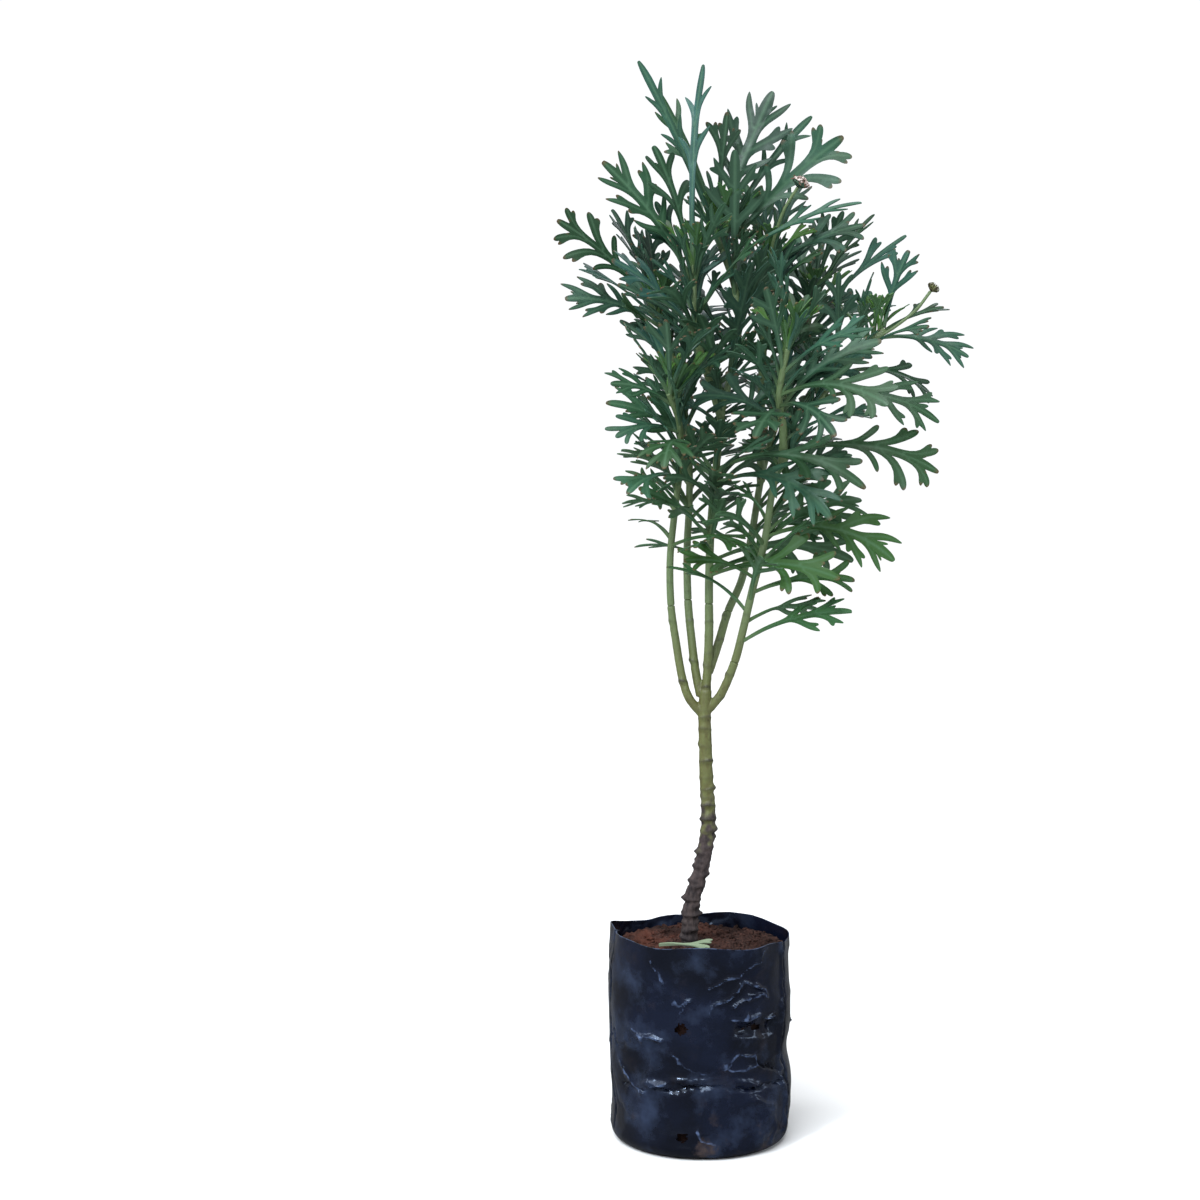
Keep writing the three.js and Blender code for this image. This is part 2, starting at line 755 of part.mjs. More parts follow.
function chooseKind(share, chance) {
  if (share > 0.9) return chance < 0.5 ? "young" : "three";
  if (share > 0.6) return chance < 0.6 ? "slim" : "five";
  return chance < 0.35 ? "broad" : "five";
}

function makeLeafyBranches() {
  const leaves = Object.fromEntries(LEAFY_BRANCHES.map(({ node }) => [node, []]));
  for (const { node, main, side, stalk } of LEAFY_BRANCHES) {
    claimStem(LINES[main], node);
    if (side) claimStem(LINES[side], node);
    if (stalk) claimStem(smoothLine(stalk), node);
  }
  claimHead(WITHERED_STALK);
  claimHead(BUD_STALK);
  growPlacedLeaves(leaves);
  growRuledLeaves(leaves);
  return LEAFY_BRANCHES.map(({ node, main, side, from, stalk }) => {
    const line = LINES[main];
    const start = from + GAP / line.getLength();
    const pieces = [branchTube(line, start, 1, 9)];
    if (side) pieces.push(branchTube(LINES[side], 0, 1, 5));
    if (stalk) pieces.push(tube(smoothLine(stalk), 0, 1, () => STALK_RADIUS, 5, 5));
    return toMesh(node, join([...pieces, ...leaves[node].map(makeLeaf)]), LEAF_FINISH);
  });
}

// A withered head: a cup of bracts that carries a shrunken disc with curled dry rays round it
function makeWitheredHead() {
  const line = smoothLine(WITHERED_STALK);
  const foot = line.getPoint(1).addScaledVector(line.getTangent(1), GAP);
  const lean = new THREE.Quaternion().setFromUnitVectors(at(0, 0, 1), line.getTangent(1));
  const profile = [
    [0, 0],
    [1.6, 0],
    [3.6, 1.8],
    [4.1, 3.4],
    [3.4, 4.6],
    [1.8, 5.6],
    [0, 5.8],
  ];
  const cup = toSolid(turnedHead(profile, 12));
  const ray = toSolid(new THREE.ConeGeometry(0.9, 4.6, 5).rotateX(Math.PI / 2 + 0.5).translate(0, -3.4, 4.6));
  const rays = Array.from({ length: 7 }, (unused, i) => ray.rotate([0, 0, (i * 360) / 7]));
  return place(join([cup, ...rays]), foot, lean);
}

function makeBud() {
  const line = smoothLine(BUD_STALK);
  const foot = line.getPoint(1).addScaledVector(line.getTangent(1), GAP);
  const lean = new THREE.Quaternion().setFromUnitVectors(at(0, 0, 1), line.getTangent(1));
  const profile = [
    [0, 0],
    [1.2, 0],
    [2.6, 1.5],
    [2.7, 3],
    [1.6, 4.2],
    [0, 4.4],
  ];
  return place(toSolid(turnedHead(profile, 10)), foot, lean);
}

function turnedHead(profile, sides) {
  const points = profile.map(([radius, z]) => new THREE.Vector2(radius, z));
  return new THREE.LatheGeometry(points, sides).rotateX(Math.PI / 2);
}

function place(solid, foot, lean) {
  const matrix = new THREE.Matrix4().compose(foot, lean, at(1, 1, 1));
  return solid.transform(matrix.elements);
}

// A leaf that dropped and lies on the soil in front of the stem
function makeFallenLeaf() {
  const root = at(-22, -12, SOIL_TOP + 1.4);
  const tip = at(4, -19, SOIL_TOP + 1.6);
  return makeLeaf(poseLeaf(root, tip, "young", 0, 18));
}

const BAG_FINISH = new THREE.MeshStandardMaterial({ color: 0x0d1018, roughness: 0.28, metalness: 0 });
const SOIL_FINISH = new THREE.MeshStandardMaterial({ color: 0x4a2a1c, roughness: 0.95, metalness: 0 });
const BARK_FINISH = new THREE.MeshStandardMaterial({ color: 0x5d5a35, roughness: 0.8, metalness: 0 });
const LEAF_FINISH = new THREE.MeshStandardMaterial({ color: 0x2f5e42, roughness: 0.5, metalness: 0 });
const HEAD_FINISH = new THREE.MeshStandardMaterial({ color: 0xb49a86, roughness: 0.9, metalness: 0 });
const BUD_FINISH = new THREE.MeshStandardMaterial({ color: 0x6b5a36, roughness: 0.8, metalness: 0 });

const plant = new THREE.Group();
plant.add(toMesh("polybag", makeBag(), BAG_FINISH));
plant.add(toMesh("soil", makeSoil(makeTrunkHole()), SOIL_FINISH));
plant.add(toMesh("main_stem", makeMainStem(), BARK_FINISH));
plant.add(...makeLeafyBranches());
plant.add(toMesh("withered_flower_head", makeWitheredHead(), HEAD_FINISH));
plant.add(toMesh("flower_bud", makeBud(), BUD_FINISH));
plant.add(toMesh("fallen_leaf", makeFallenLeaf(), LEAF_FINISH));

export default plant;
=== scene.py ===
"""Potted marguerite daisy: the looks of the plant, its nursery bag and its soil.

Lengths are in millimetres inside this file, and become metres where a mesh is written.
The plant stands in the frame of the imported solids: +Z up, its front facing -Y.
"""

import math

import bmesh
import bpy
import numpy as np
from bpy.props import FloatProperty, FloatVectorProperty, IntProperty, PointerProperty
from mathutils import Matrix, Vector, noise


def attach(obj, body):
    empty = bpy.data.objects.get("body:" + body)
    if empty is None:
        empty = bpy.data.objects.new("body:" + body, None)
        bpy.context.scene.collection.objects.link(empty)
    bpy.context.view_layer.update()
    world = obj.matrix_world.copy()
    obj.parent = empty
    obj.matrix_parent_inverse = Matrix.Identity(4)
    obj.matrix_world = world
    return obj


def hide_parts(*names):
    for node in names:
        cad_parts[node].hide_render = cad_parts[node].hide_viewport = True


bl_info = {
    "name": "Potted marguerite daisy",
    "version": (1, 0, 0),
    "blender": (4, 5, 0),
    "location": "3D View > Sidebar > Daisy",
    "description": "Builds a young marguerite daisy in a black nursery bag, piece by piece",
    "category": "Object",
}

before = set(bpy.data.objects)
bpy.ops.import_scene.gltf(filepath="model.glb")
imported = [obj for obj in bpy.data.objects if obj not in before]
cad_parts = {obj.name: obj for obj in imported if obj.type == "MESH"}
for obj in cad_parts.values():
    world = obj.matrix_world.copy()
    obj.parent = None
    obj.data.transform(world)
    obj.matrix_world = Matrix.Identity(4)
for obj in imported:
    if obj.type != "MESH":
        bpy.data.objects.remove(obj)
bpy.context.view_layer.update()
MM = 0.001

# The bag and the soil, as in the solids
BAG_RADIUS = 45.4
BASE_RADIUS = 38
BASE_ROUND = 7
# How much smaller each ring of the closed bottom is than the one before
BASE_RINGS = (0.9, 0.88, 0.86, 0.8, 0.6, 0.3)
RIM_HEIGHT = 105
SOIL_FOOT = 1.6
SOIL_TOP = 98
SOIL_LUMP = 1.3
SOIL_RINGS = 24
CRUMB_SPREAD = 42
RIM = [(0, 101.5), (50, 105.5), (90, 103.5), (125, 102), (180, 108.5)]
RIM += [(225, 105.5), (270, 106), (315, 105), (360, 101.5)]

# Bulges and dents of the filled film: degrees round, height, degrees wide, height wide, push outwards
BULGES = [
    (0, 49, 38, 9, -2),
    (5, 27, 45, 12, 1.4),
    (180, 78, 50, 20, 1.6),
    (185, 22, 50, 18, -2),
    (262, 62, 40, 16, 0.8),
    (300, 40, 36, 7, -1),
    (95, 50, 60, 22, 1.2),
    (60, 24, 40, 10, -1.3),
    (135, 88, 36, 12, -1.2),
]

# Small torn drainage holes: degrees round, height, radius
DRAIN_HOLES = [(256, 66, 2.6), (301, 65.4, 1.3), (304, 65, 1.6), (307, 64.6, 1.4), (257, 12, 2.6)]
DRAIN_HOLES += [(80, 52, 2.2), (150, 30, 2), (20, 70, 1.8)]

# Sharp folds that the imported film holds: half width, push outwards, and where each runs, in degrees
# round and height
FOLDS = [
    (1.0, 1.5, [(275, 74), (280, 80), (292, 86), (295, 89), (311, 84), (313, 80), (298, 82), (289, 77)]),
    (0.9, 0.9, [(251, 78), (260, 80), (255, 74)]),
    (1.2, 1.5, [(221, 63), (230, 58), (242, 60)]),
    (1.2, 1.3, [(287, 71), (295, 71), (320, 68)]),
    (3.6, -2.2, [(290, 66), (318, 64)]),
    (1.0, 1.3, [(283, 46), (292, 54), (303, 51), (307, 46), (295, 44), (285, 47)]),
    (1.1, -1.4, [(212, 33), (245, 34.6), (262, 37.5), (280, 37), (295, 34.4), (309, 34), (332, 35)]),
    (1.8, 0.9, [(224, 36), (245, 38), (262, 41), (280, 40), (295, 38), (309, 37)]),
    (0.9, -1.2, [(307, 48), (332, 38), (342, 31)]),
    (1.6, 1.1, [(298, 29), (320, 25), (322, 14), (320, 4)]),
    (1.4, 1.0, [(206, 44), (226, 32), (245, 38)]),
    (1.0, 0.8, [(265, 16), (278, 9)]),
    (0.7, 0.7, [(236, 99), (240, 94), (246, 87)]),
    (0.7, 0.7, [(274, 86), (286, 90), (295, 93), (307, 98), (314, 104)]),
    (0.7, 0.6, [(250, 52), (262, 45), (272, 44)]),
    (0.9, -2.2, [(336, 106), (336, 78), (333, 50), (341, 25), (341, 6)]),
    (1.8, 1.4, [(330, 106), (330, 78), (328, 52), (334, 28), (335, 8)]),
    (1.0, -1.8, [(192, 106), (194, 70), (190, 40), (194, 8)]),
]
# Wide swells near the foot, listed in the same way
FOLDS += [
    (7.5, 1.7, [(313, 13), (320, 19)]),
    (6, 0.9, [(226, 30), (232, 36)]),
    (5, 0.7, [(283, 8), (290, 12)]),
]
FOLD_THIN = 0.85
FOLD_LOW = 1.15
# How far from a crease or a shaded fold the film's painted highlight and painted shade lines are kept, and
# where each line starts and ends fading
MARK_REACH = 3
HIGHLIGHT_LINE = (0.3, 0.7)
SHADE_LINE = (0.5, 1.1)
# Painted shade: the near black laid in deep inward folds
FOLD_SHADE_COLOUR = (0.0006, 0.0006, 0.0008)
SHEEN_TINT = (0.62, 0.76, 1, 1)
# The least push outwards of a crease that gets a painted highlight line, the least push inwards of a fold
# that gets a painted shade line, and how wide a fold may be to leave either
HIGHLIGHT_PUSH = 0.3
SHADE_PUSH = -1.5
SHARP = 1.5
BACK_FOLDS = 26
FOLD_SEED = 55
CRUMB_SEED = 303

# Scars and stubs of fallen leaves: height, degrees round, how proud
TRUNK_SCARS = [
    (102, 185, 0.9), (106, 290, 0.8), (110, 60, 0.9), (114, 0, 1.5), (114.5, 170, 0.8), (118, 330, 0.6),
    (122, 182, 1.7), (126, 90, 1), (128, 280, 0.7), (131, 188, 1.1), (134, 345, 1), (138.5, 200, 1),
    (142, 110, 1), (145.5, 190, 1.2), (148, 300, 0.7), (153, 30, 1), (157, 352, 1.3), (162.5, 235, 1.2),
    (163, 300, 0.8), (169.5, 265, 1.2), (174, 120, 0.8), (178, 345, 1.2), (184, 60, 0.7), (192, 305, 1),
    (200, 150, 0.7), (208, 250, 0.5), (214, 290, 0.6), (218, 60, 0.5),
]
BRANCH_SCARS = {
    "leftOuter": [(232, 250, 1.6), (262, 200, 0.5), (284, 300, 0.5)],
    "leftInner": [(242, 195, 1.1), (262, 300, 0.6), (280, 330, 0.5)],
    "leader": [(229, 270, 0.9), (240, 180, 0.6), (246, 300, 0.4), (262, 280, 0.5)],
    "right": [(224, 40, 0.9), (236, 180, 0.7), (254, 200, 0.8)],
    "back": [(252, 300, 0.5), (264, 200, 0.6)],
}

# Stems, each from its root to its tip
TRUNK_FOOT = 72
TRUNK_RADIUS_LOW = 4.3
TRUNK_RADIUS_HIGH = 3.1
BRANCH_RADIUS_LOW = 2.35
BRANCH_RADIUS_HIGH = 1.5
STALK_RADIUS = 0.9
# Heights between which the bark turns green, the trunk becomes its fork, and the green turns pale
WOOD_END = (150, 174)
FORK = (219, 224)
TRUNK_PALES = (205, 300)
SHOOT_PALES = (215, 290)
STEMS = {
    "trunk": [
        (-6.5, 0, TRUNK_FOOT), (-5.5, 0, 98.5), (-4, 0, 120), (-0.5, 0, 132.5), (3.5, 0, 152.5),
        (4, 0, 167.5), (3, 0, 182.5), (2.5, 0, 197.5), (2, 0, 215), (2.5, 0, 227),
    ],
    "leftOuter": [
        (0, 0, 216), (-6, 0, 223.5), (-9.5, 1, 234.5), (-12.4, 2, 251.5), (-14.9, 2, 269.5),
        (-15.5, 0, 292.5), (-13.6, -4, 315), (-10.9, -12, 340.5), (-11.8, -22, 360), (-17.5, -32, 375),
    ],
    "leftInner": [
        (0, 1, 224), (-2.4, 3, 236), (-4.3, 5, 251), (-6.2, 8, 272), (-6.6, 10, 298),
        (-5.5, 12, 322), (-6, 14, 352), (-11, 16, 383), (-18, 16, 406), (-22.7, 14, 417),
    ],
    "leader": [
        (2.5, 0, 222), (4, 0, 252.5), (4, 0, 282.5), (4.9, -2, 312.5), (7.3, -4, 340.5), (9.7, -6, 366.5),
        (14, -6, 383.5), (17.7, -5, 405), (15.8, -3, 427.5), (9.5, 0, 446.5), (7.5, 0, 456.5),
    ],
    "leaderSide": [(9.4, -6, 363.5), (4, -10, 380), (-2, -14, 397), (-4.7, -16, 416.5), (-4.7, -16, 437.5)],
    "right": [
        (3.5, 0, 217), (10.4, -2, 226), (16.7, -5, 242), (20.5, -7, 257.5), (25, -9, 278), (31, -10, 303),
        (35.7, -10, 332.5), (43.8, -8, 347.5), (55, -4, 367.5), (72, 2, 388.5), (91, 6, 407.5),
    ],
    "rightFront": [(39.5, -10, 339.5), (38.7, -22, 357.5), (35.7, -34, 374.5), (38.9, -42, 396)],
    "back": [
        (4, 1, 236), (9.4, 8, 250.5), (14.3, 14, 265.5), (21.8, 20, 282), (27.3, 26, 306),
        (33, 32, 337), (42.6, 38, 368), (53.3, 42, 399), (59.5, 42, 425),
    ],
    "backUpright": [(31.9, 31, 331), (31.2, 24, 362.5), (31.8, 18, 398), (33.6, 14, 423), (33.4, 12, 442)],
}
WITHERED_STALK = [(33, 13, 431), (34.6, 4, 447), (39.5, -3, 464), (46.5, -6, 476)]
BUD_STALK = [(84, 5, 401), (95.5, 3, 408), (106, 2, 416.5), (113.5, 2, 426)]
# The cups that both end in: radius, scales in a row, how far they reach, rows
HEAD_CUP = (3.5, 15, 3.4, 2)
BUD_CUP = (2.3, 14, 2.6, 3)
BUD_COLOURS = ((0.035, 0.022, 0.010), (0.10, 0.11, 0.035))

# The leafy nodes: main shoot, where it leaves the bare branch, side shoot and flower stalk
LEAFY_BRANCHES = [
    ("leafy_branch_centre", "leader", 0.16, "leaderSide", None),
    ("leafy_branch_left_inner", "leftInner", 3 / 9, None, None),
    ("leafy_branch_right", "right", 0.2, "rightFront", BUD_STALK),
    ("leafy_branch_back", "back", 0.25, "backUpright", WITHERED_STALK),
    ("leafy_branch_left_outer", "leftOuter", 4 / 9, None, None),
]

# A leaf 60 mm long, which the others are scaled from, and how leaves stand to each other
LEAF_LENGTH = 60
LOBE_STAGGER = 2.5
LEAF_FOLD = 0.16
LEAF_DROOP = 0.004
TWIST_END = 0.4
ROOT_START = 1
ROOT_LENGTH = 11
SAME_BRANCH_CLEARANCE = 3.7
OTHER_BRANCH_CLEARANCE = 5.3
GOLDEN_ANGLE = 137.5
RULED_SEED = 101
# What is tried for a leaf in turn: steps in front and behind, more twist, and how often a rule is tried
STEPS = (0, -7, 7, -14, 14, -21, 21, -28, 28)
MORE_TWIST = (0, 25, -25)
RULED_TRIES = 9
FILLER_TRIES = 6
# Heights of a leaf's root between which leaves change from young to grown in colour
GROWN = (270, 370)

# Lobes of each kind of leaf, in pairs up the rib: where on the rib, degrees off it, reach
LEAF_KINDS = {
    "broad": [(24, 50, 14), (33, 45, 20), (44, 36, 15)],
    "five": [(28, 45, 18), (41, 36, 15)],
    "slim": [(30, 35, 12), (42, 30, 11)],
    "three": [(36, 38, 17)],
    "young": [(34, 28, 12)],
}

# Leaves set where they stand on each stem: height of the root on it, tip, kind, twist, bend
PLACED_LEAVES = [
    ("leader", [
        (444, (-35, -6, 535), "slim", -60, 14), (452, (38, 4, 522), "broad", 60, 18),
        (444, (72, -4, 500), "broad", 50, 22), (439, (77, -6, 468), "slim", 40, 30),
        (455, (12, 6, 512), "three", 0, 12), (428, (18, -14, 493), "five", 0, 20),
        (448, (54, 12, 515), "slim", 50, 20), (450, (-20, 14, 529), "slim", -40, 15),
    ]),
    ("leaderSide", [
        (435, (-2, -12, 534), "slim", 0, 20), (428, (-50, -12, 487), "broad", -50, 25),
        (431, (-25, 2, 497), "five", -30, 20), (405, (-45, -34, 437), "five", -45, 30),
        (402, (-42, -10, 428), "three", -40, 30), (411, (29, -44, 450), "three", 40, 25),
        (431, (-2, -40, 446), "young", 0, 30),
    ]),
    ("leader", [
        (380, (22, -40, 437), "broad", 25, 28), (398, (30, -44, 441), "broad", 0, 25),
        (334, (7, -30, 362), "broad", 0, 45), (333, (30, -46, 349), "five", 30, 45),
        (331, (62, -40, 315), "broad", 45, 75), (338, (74, -34, 327), "five", 45, 70),
        (303, (-31, -14, 327), "five", -50, 40), (285, (66, -27, 287), "five", 50, 40),
        (300, (11, -34, 324), "three", 0, 35),
    ]),
    ("leftInner", [
        (416, (-71, 10, 463), "broad", -55, 25), (417, (-45, 24, 468), "five", -30, 20),
        (411, (-61, 0, 437), "three", -50, 30), (408, (-68, 14, 422), "broad", -50, 45),
        (397, (-40, -4, 419), "three", -40, 35), (415, (-26, 34, 459), "five", 0, 20),
        (405, (-30, 50, 446), "five", 0, 30),
    ]),
    ("leftOuter", [
        (374, (2, -62, 405), "broad", 20, 45), (373, (-18, -52, 409), "three", 0, 25),
        (371, (10, -56, 392), "five", 40, 40), (369, (-45, -40, 378), "five", -50, 45),
        (356, (-42, -36, 353), "five", -50, 60), (350, (-22, -64, 339), "broad", 0, 65),
        (334, (-38, -30, 327), "three", -40, 50),
    ]),
    ("rightFront", [
        (374, (82, -70, 367), "broad", 55, 60), (384, (76, -60, 405), "five", 45, 40),
        (390, (46, -54, 414), "young", 0, 25), (394, (31, -44, 444), "five", 0, 20),
        (369, (56, -80, 353), "five", 20, 55), (366, (23, -76, 353), "five", 0, 50),
    ]),
    ("right", [
        (347, (117, -12, 338), "broad", 60, 45), (374, (117, -12, 362), "five", 55, 50),
        (386, (117, 14, 375), "five", 45, 55), (403, (132, -6, 394), "broad", 45, 40),
        (405, (122, 12, 418), "five", 40, 30), (407, (103, 4, 446), "five", 50, 15),
        (398, (109, -20, 407), "three", 30, 30), (252, (73, -22, 268), "five", 35, 35),
        (277, (76, -8, 283), "five", 50, 35), (305, (92, -16, 291), "broad", 55, 75),
        (312, (58, 14, 337), "five", 45, 40),
    ]),
    ("back", [
        (405, (105, 36, 457), "three", 40, 25), (421, (90, 44, 468), "slim", 40, 22),
        (418, (80, 72, 450), "five", 0, 35), (424, (68, 58, 467), "five", 0, 20),
        (400, (98, 66, 424), "broad", 30, 40), (411, (54, 76, 460), "five", 0, 28),
    ]),
    ("backUpright", [
        (436, (81, 6, 460), "five", 45, 35), (440, (52, 27, 484), "slim", 40, 18),
        (441, (44, 14, 478), "young", 0, 18), (438, (22, 34, 482), "five", 0, 20),
        (424, (58, -12, 443), "three", 40, 35),
    ]),
]

# Leaves set round each stem by rule: stem, lowest and highest root, how many are tried
RULED_LEAVES = [
    ("leader", 292, 455, 16),
    ("leaderSide", 384, 436, 7),
    ("leftInner", 318, 416, 17),
    ("right", 268, 406, 13),
    ("rightFront", 358, 395, 5),
    ("back", 296, 424, 13),
    ("backUpright", 352, 441, 12),
    ("leftOuter", 306, 374, 12),
]

# The crown's outline from the front: height, leftmost and rightmost x
CROWN = np.array([
    (255, -6, 60), (275, -28, 80), (300, -38, 94), (325, -46, 96), (350, -50, 118), (375, -52, 118),
    (400, -58, 132), (425, -68, 122), (450, -70, 104), (475, -54, 84), (500, -46, 72), (524, -36, 44),
    (536, -20, 24),
], float)
CROWN_DEPTH_SHARE = 0.38

# Looks only: small leaves between the others and at the shoots' tips, and the camera
TUFT_SEED = 707
FILLER_SEED = 411
BLADE_SEED = 909
HEAD_SEED = 77
FILLER_SAME_CLEARANCE = 2.3
FILLER_OTHER_CLEARANCE = 3
CAMERA_PLACE = (-50.5, -1100, 357)
CAMERA_AIM = (-50.5, 0, 272.5)
VIEW_WIDTH = 600
FLOOR_SIZE = 14
SENSOR = 36
SKY_LIGHT = 0.42
SKY_SEEN = 1.05
SKY_MIRRORED = 0.4
FLOOR_MIRRORED = 0.1
SKY_COLOUR = (0.97, 0.985, 1, 1)
KEY_LIGHT = 2.7
KEY_SPREAD = 55
LAMP_COLOUR = (0.86, 0.93, 1)
# Lamps: name, place in metres, power and size
LAMPS = [
    ("Softbox", (-0.4, -1.25, 1.2), 15, 0.9),
    ("Window", (-0.75, -1.1, 1.25), 9, 0.14),
    ("Right fill", (1.5, -0.25, 0.75), 5, 0.6),
    ("Left fill", (-1.4, -0.1, 0.75), 5, 0.4),
    ("Rim", (0.6, 1.4, 1.3), 4, 0.8),
]


def unit(vector):
    return vector / np.linalg.norm(vector)


def toward(turn, rise):
    """The heading that far round and that far up, both in radians."""
    return np.array((math.cos(turn) * math.cos(rise), math.sin(turn) * math.cos(rise), math.sin(rise)))


def spun(x, y, z, turn):
    """Places as rows of x, y and z, turned about the upright axis."""
    return np.column_stack([x * np.cos(turn) - y * np.sin(turn), x * np.sin(turn) + y * np.cos(turn), z])


def polar(places):
    """How far out each place is, its degrees round, and its level heading."""
    degrees = np.degrees(np.arctan2(places[:, 1], places[:, 0])) % 360
    heading = np.column_stack([np.cos(np.radians(degrees)), np.sin(np.radians(degrees))])
    return np.hypot(places[:, 0], places[:, 1]), degrees, heading


def smoothstep(x, low, high):
    share = np.clip((x - low) / (high - low), 0, 1)
    return share * share * (3 - 2 * share)


def rough(points, size, depth):
    """Noise at each point, alike on every run: how large its lumps are, and how strong it is."""
    return np.array([noise.noise(Vector(point / size)) for point in points]) * depth


class Draws:
    """Seeded draws, alike on every run."""

    def __init__(self, seed):
        self.state = seed

    def between(self, low, high):
        self.state = (self.state * 48271) % 2147483647
        return low + (self.state / 2147483647) * (high - low)


class Line:
    """A smooth line through given points."""

    samples = 200

    def __init__(self, points):
        self.points = np.array(points, float)

    def point(self, share):
        last = len(self.points) - 1
        i = min(int(share * last), last - 1)
        weight = share * last - i
        here, there = self.points[i], self.points[i + 1]
        before = self.points[i - 1] if i > 0 else here - there + here
        after = self.points[i + 2] if i + 2 <= last else there - here + there
        start, end = 0.5 * (there - before), 0.5 * (after - here)
        square = -3 * here + 3 * there - 2 * start - end
        cube = 2 * here - 2 * there + start + end
        return here + start * weight + square * weight**2 + cube * weight**3

    def tangent(self, share):
        step = 0.0001
        return unit(self.point(min(1, share + step)) - self.point(max(0, share - step)))

    def lengths(self):
        points = np.array([self.point(i / self.samples) for i in range(self.samples + 1)])
        return np.concatenate([[0], np.cumsum(np.linalg.norm(np.diff(points, axis=0), axis=1))])

    def spaced_points(self, steps):
        lengths = self.lengths()
        at = np.linspace(0, lengths[-1], steps + 1)
        shares = np.interp(at, lengths, np.linspace(0, 1, self.samples + 1))
        return np.array([self.point(share) for share in shares])

    def share_at(self, height):
        low, high = 0.0, 1.0
        for _ in range(30):
            middle = (low + high) / 2
            if self.point(middle)[2] < height:
                low = middle
            else:
                high = middle
        return low

    def at(self, height):
        return self.point(self.share_at(height))


LINES = {name: Line(points) for name, points in STEMS.items()}


class Leaf:
    """A leaf in its place: an upright arc from its root to its tip, its blade twisted on the stalk."""

    def __init__(self, middle, tip, kind, twist, bend, age=1.0):
        chord = unit(tip - middle)
        self.root = middle + chord * ROOT_START
        across = unit(np.cross(chord, (0, 0, 1)))
        up = np.cross(across, chord)
        half = math.radians(bend) / 2
        self.start = chord * math.cos(half) + up * math.sin(half)
        self.lift = up * math.cos(half) - chord * math.sin(half)
        self.radius = np.linalg.norm(tip - self.root) / (2 * math.sin(half))
        self.turn = 2 * half
        self.length = self.radius * self.turn
        self.twist = math.radians(twist)
        self.kind = kind
        self.age = age

    def place(self, u, v, w):
        """Takes points of the flat leaf, u along the rib, v across and w above it, to their places."""
        angle = (self.turn * u / self.length)[:, None]
        sine, cosine = np.sin(angle), np.cos(angle)
        along = self.start * cosine - self.lift * sine
        above = self.lift * cosine + self.start * sine
        twisted = (self.twist * smoothstep(u / self.length, 0, TWIST_END))[:, None]
        above = above * np.cos(twisted) + np.cross(along, above) * np.sin(twisted)
        across = np.cross(above, along)
        rib = self.root + self.start * (self.radius * sine) - self.lift * (self.radius * (1 - cosine))
        fold = LEAF_FOLD * np.abs(v) - LEAF_DROOP * v * v
        return rib + across * v[:, None] + above * (w + fold)[:, None]

    def rib_points(self):
        along = self.length / LEAF_LENGTH
        wide = math.sqrt(along)
        u = list(np.arange(3, self.length + 1e-9, 3))
        v = [0.0] * len(u)
        roots = [place < ROOT_LENGTH for place in u]
        for start, degrees, reach in LEAF_KINDS[self.kind]:
            angle = math.radians(degrees)
            for sign in (1, -1):
                foot = (start + (LOBE_STAGGER if sign < 0 else 0)) * along
                end = (foot + reach * math.cos(angle) * wide, sign * reach * math.sin(angle) * wide)
                for share in (0.25, 0.5, 0.75, 1):
                    u.append(foot + (end[0] - foot) * share)
                    v.append(end[1] * share)
                    roots.append(False)
        u = np.array(u)
        return self.place(u, np.array(v), np.zeros(len(u))), np.array(roots)


class Room:
    """The room that stems and leaves have claimed so far, and the leaves of each node."""

    def __init__(self):
        self.leaves = [[] for _ in LEAFY_BRANCHES]
        self.points = np.zeros((0, 3))
        self.roots = np.zeros(0, bool)
        self.nodes = np.zeros(0, int)

    def claim(self, points, roots, node):
        self.points = np.vstack([self.points, points])
        self.roots = np.concatenate([self.roots, roots])
        self.nodes = np.concatenate([self.nodes, np.full(len(points), node)])

    def claim_stem(self, line, node):
        points = line.spaced_points(round(line.lengths()[-1] / 3))
        self.claim(points, np.ones(len(points), bool), node)

    def claim_head(self, stalk):
        line = Line(stalk)
        middle = line.point(1) + line.tangent(1) * 2.5
        ring = [middle + (3 * math.cos(i), 3 * math.sin(i), 0) for i in range(6)]
        self.claim(np.array([middle, *ring]), np.ones(7, bool), -1)

    def is_clear(self, points, roots, node, same=SAME_BRANCH_CLEARANCE, other=OTHER_BRANCH_CLEARANCE):
        apart = np.linalg.norm(points[:, None, :] - self.points[None, :, :], axis=2)
        own = self.nodes == node
        if (apart[:, ~own] <= other).any():
            return False
        return not (apart[np.ix_(~roots, own & ~self.roots)] <= same).any()

    def grow(self, leaf, node, *clearances, anywhere=False):
        """Keeps a leaf if it is inside the crown and clear of the others, and says whether it was."""
        points, roots = leaf.rib_points()
        if not (anywhere or inside_crown(points)) or not self.is_clear(points, roots, node, *clearances):
            return False
        self.claim(points, roots, node)
        self.leaves[node].append(leaf)
        return True


def inside_crown(points):
    left = np.interp(points[:, 2], CROWN[:, 0], CROWN[:, 1])
    right = np.interp(points[:, 2], CROWN[:, 0], CROWN[:, 2])
    depth = (right - left) * CROWN_DEPTH_SHARE
    sideways = (2 * points[:, 0] - left - right) / (right - left)
    oval = sideways**2 + (points[:, 1] / depth) ** 2
    return bool(((points[:, 2] < CROWN[-1, 0]) & (oval < 1.08)).all())


def branch_of(stem):
    return next(i for i, branch in enumerate(LEAFY_BRANCHES) if stem in (branch[1], branch[3]))


def grow_placed_leaves(room):
    """Each leaf takes the first place that is clear, in front of or behind the one noted for it."""
    leaves = [(stem, *leaf) for stem, group in PLACED_LEAVES for leaf in group]
    for stem, height, (x, y, z), kind, twist, bend in leaves:
        root = LINES[stem].at(height)
        tips = [np.array((x, y + depth, z), float) for depth in STEPS]
        tries = (Leaf(root, tip, kind, twist + more, bend) for tip in tips for more in MORE_TWIST)
        any(room.grow(leaf, branch_of(stem), anywhere=True) for leaf in tries)


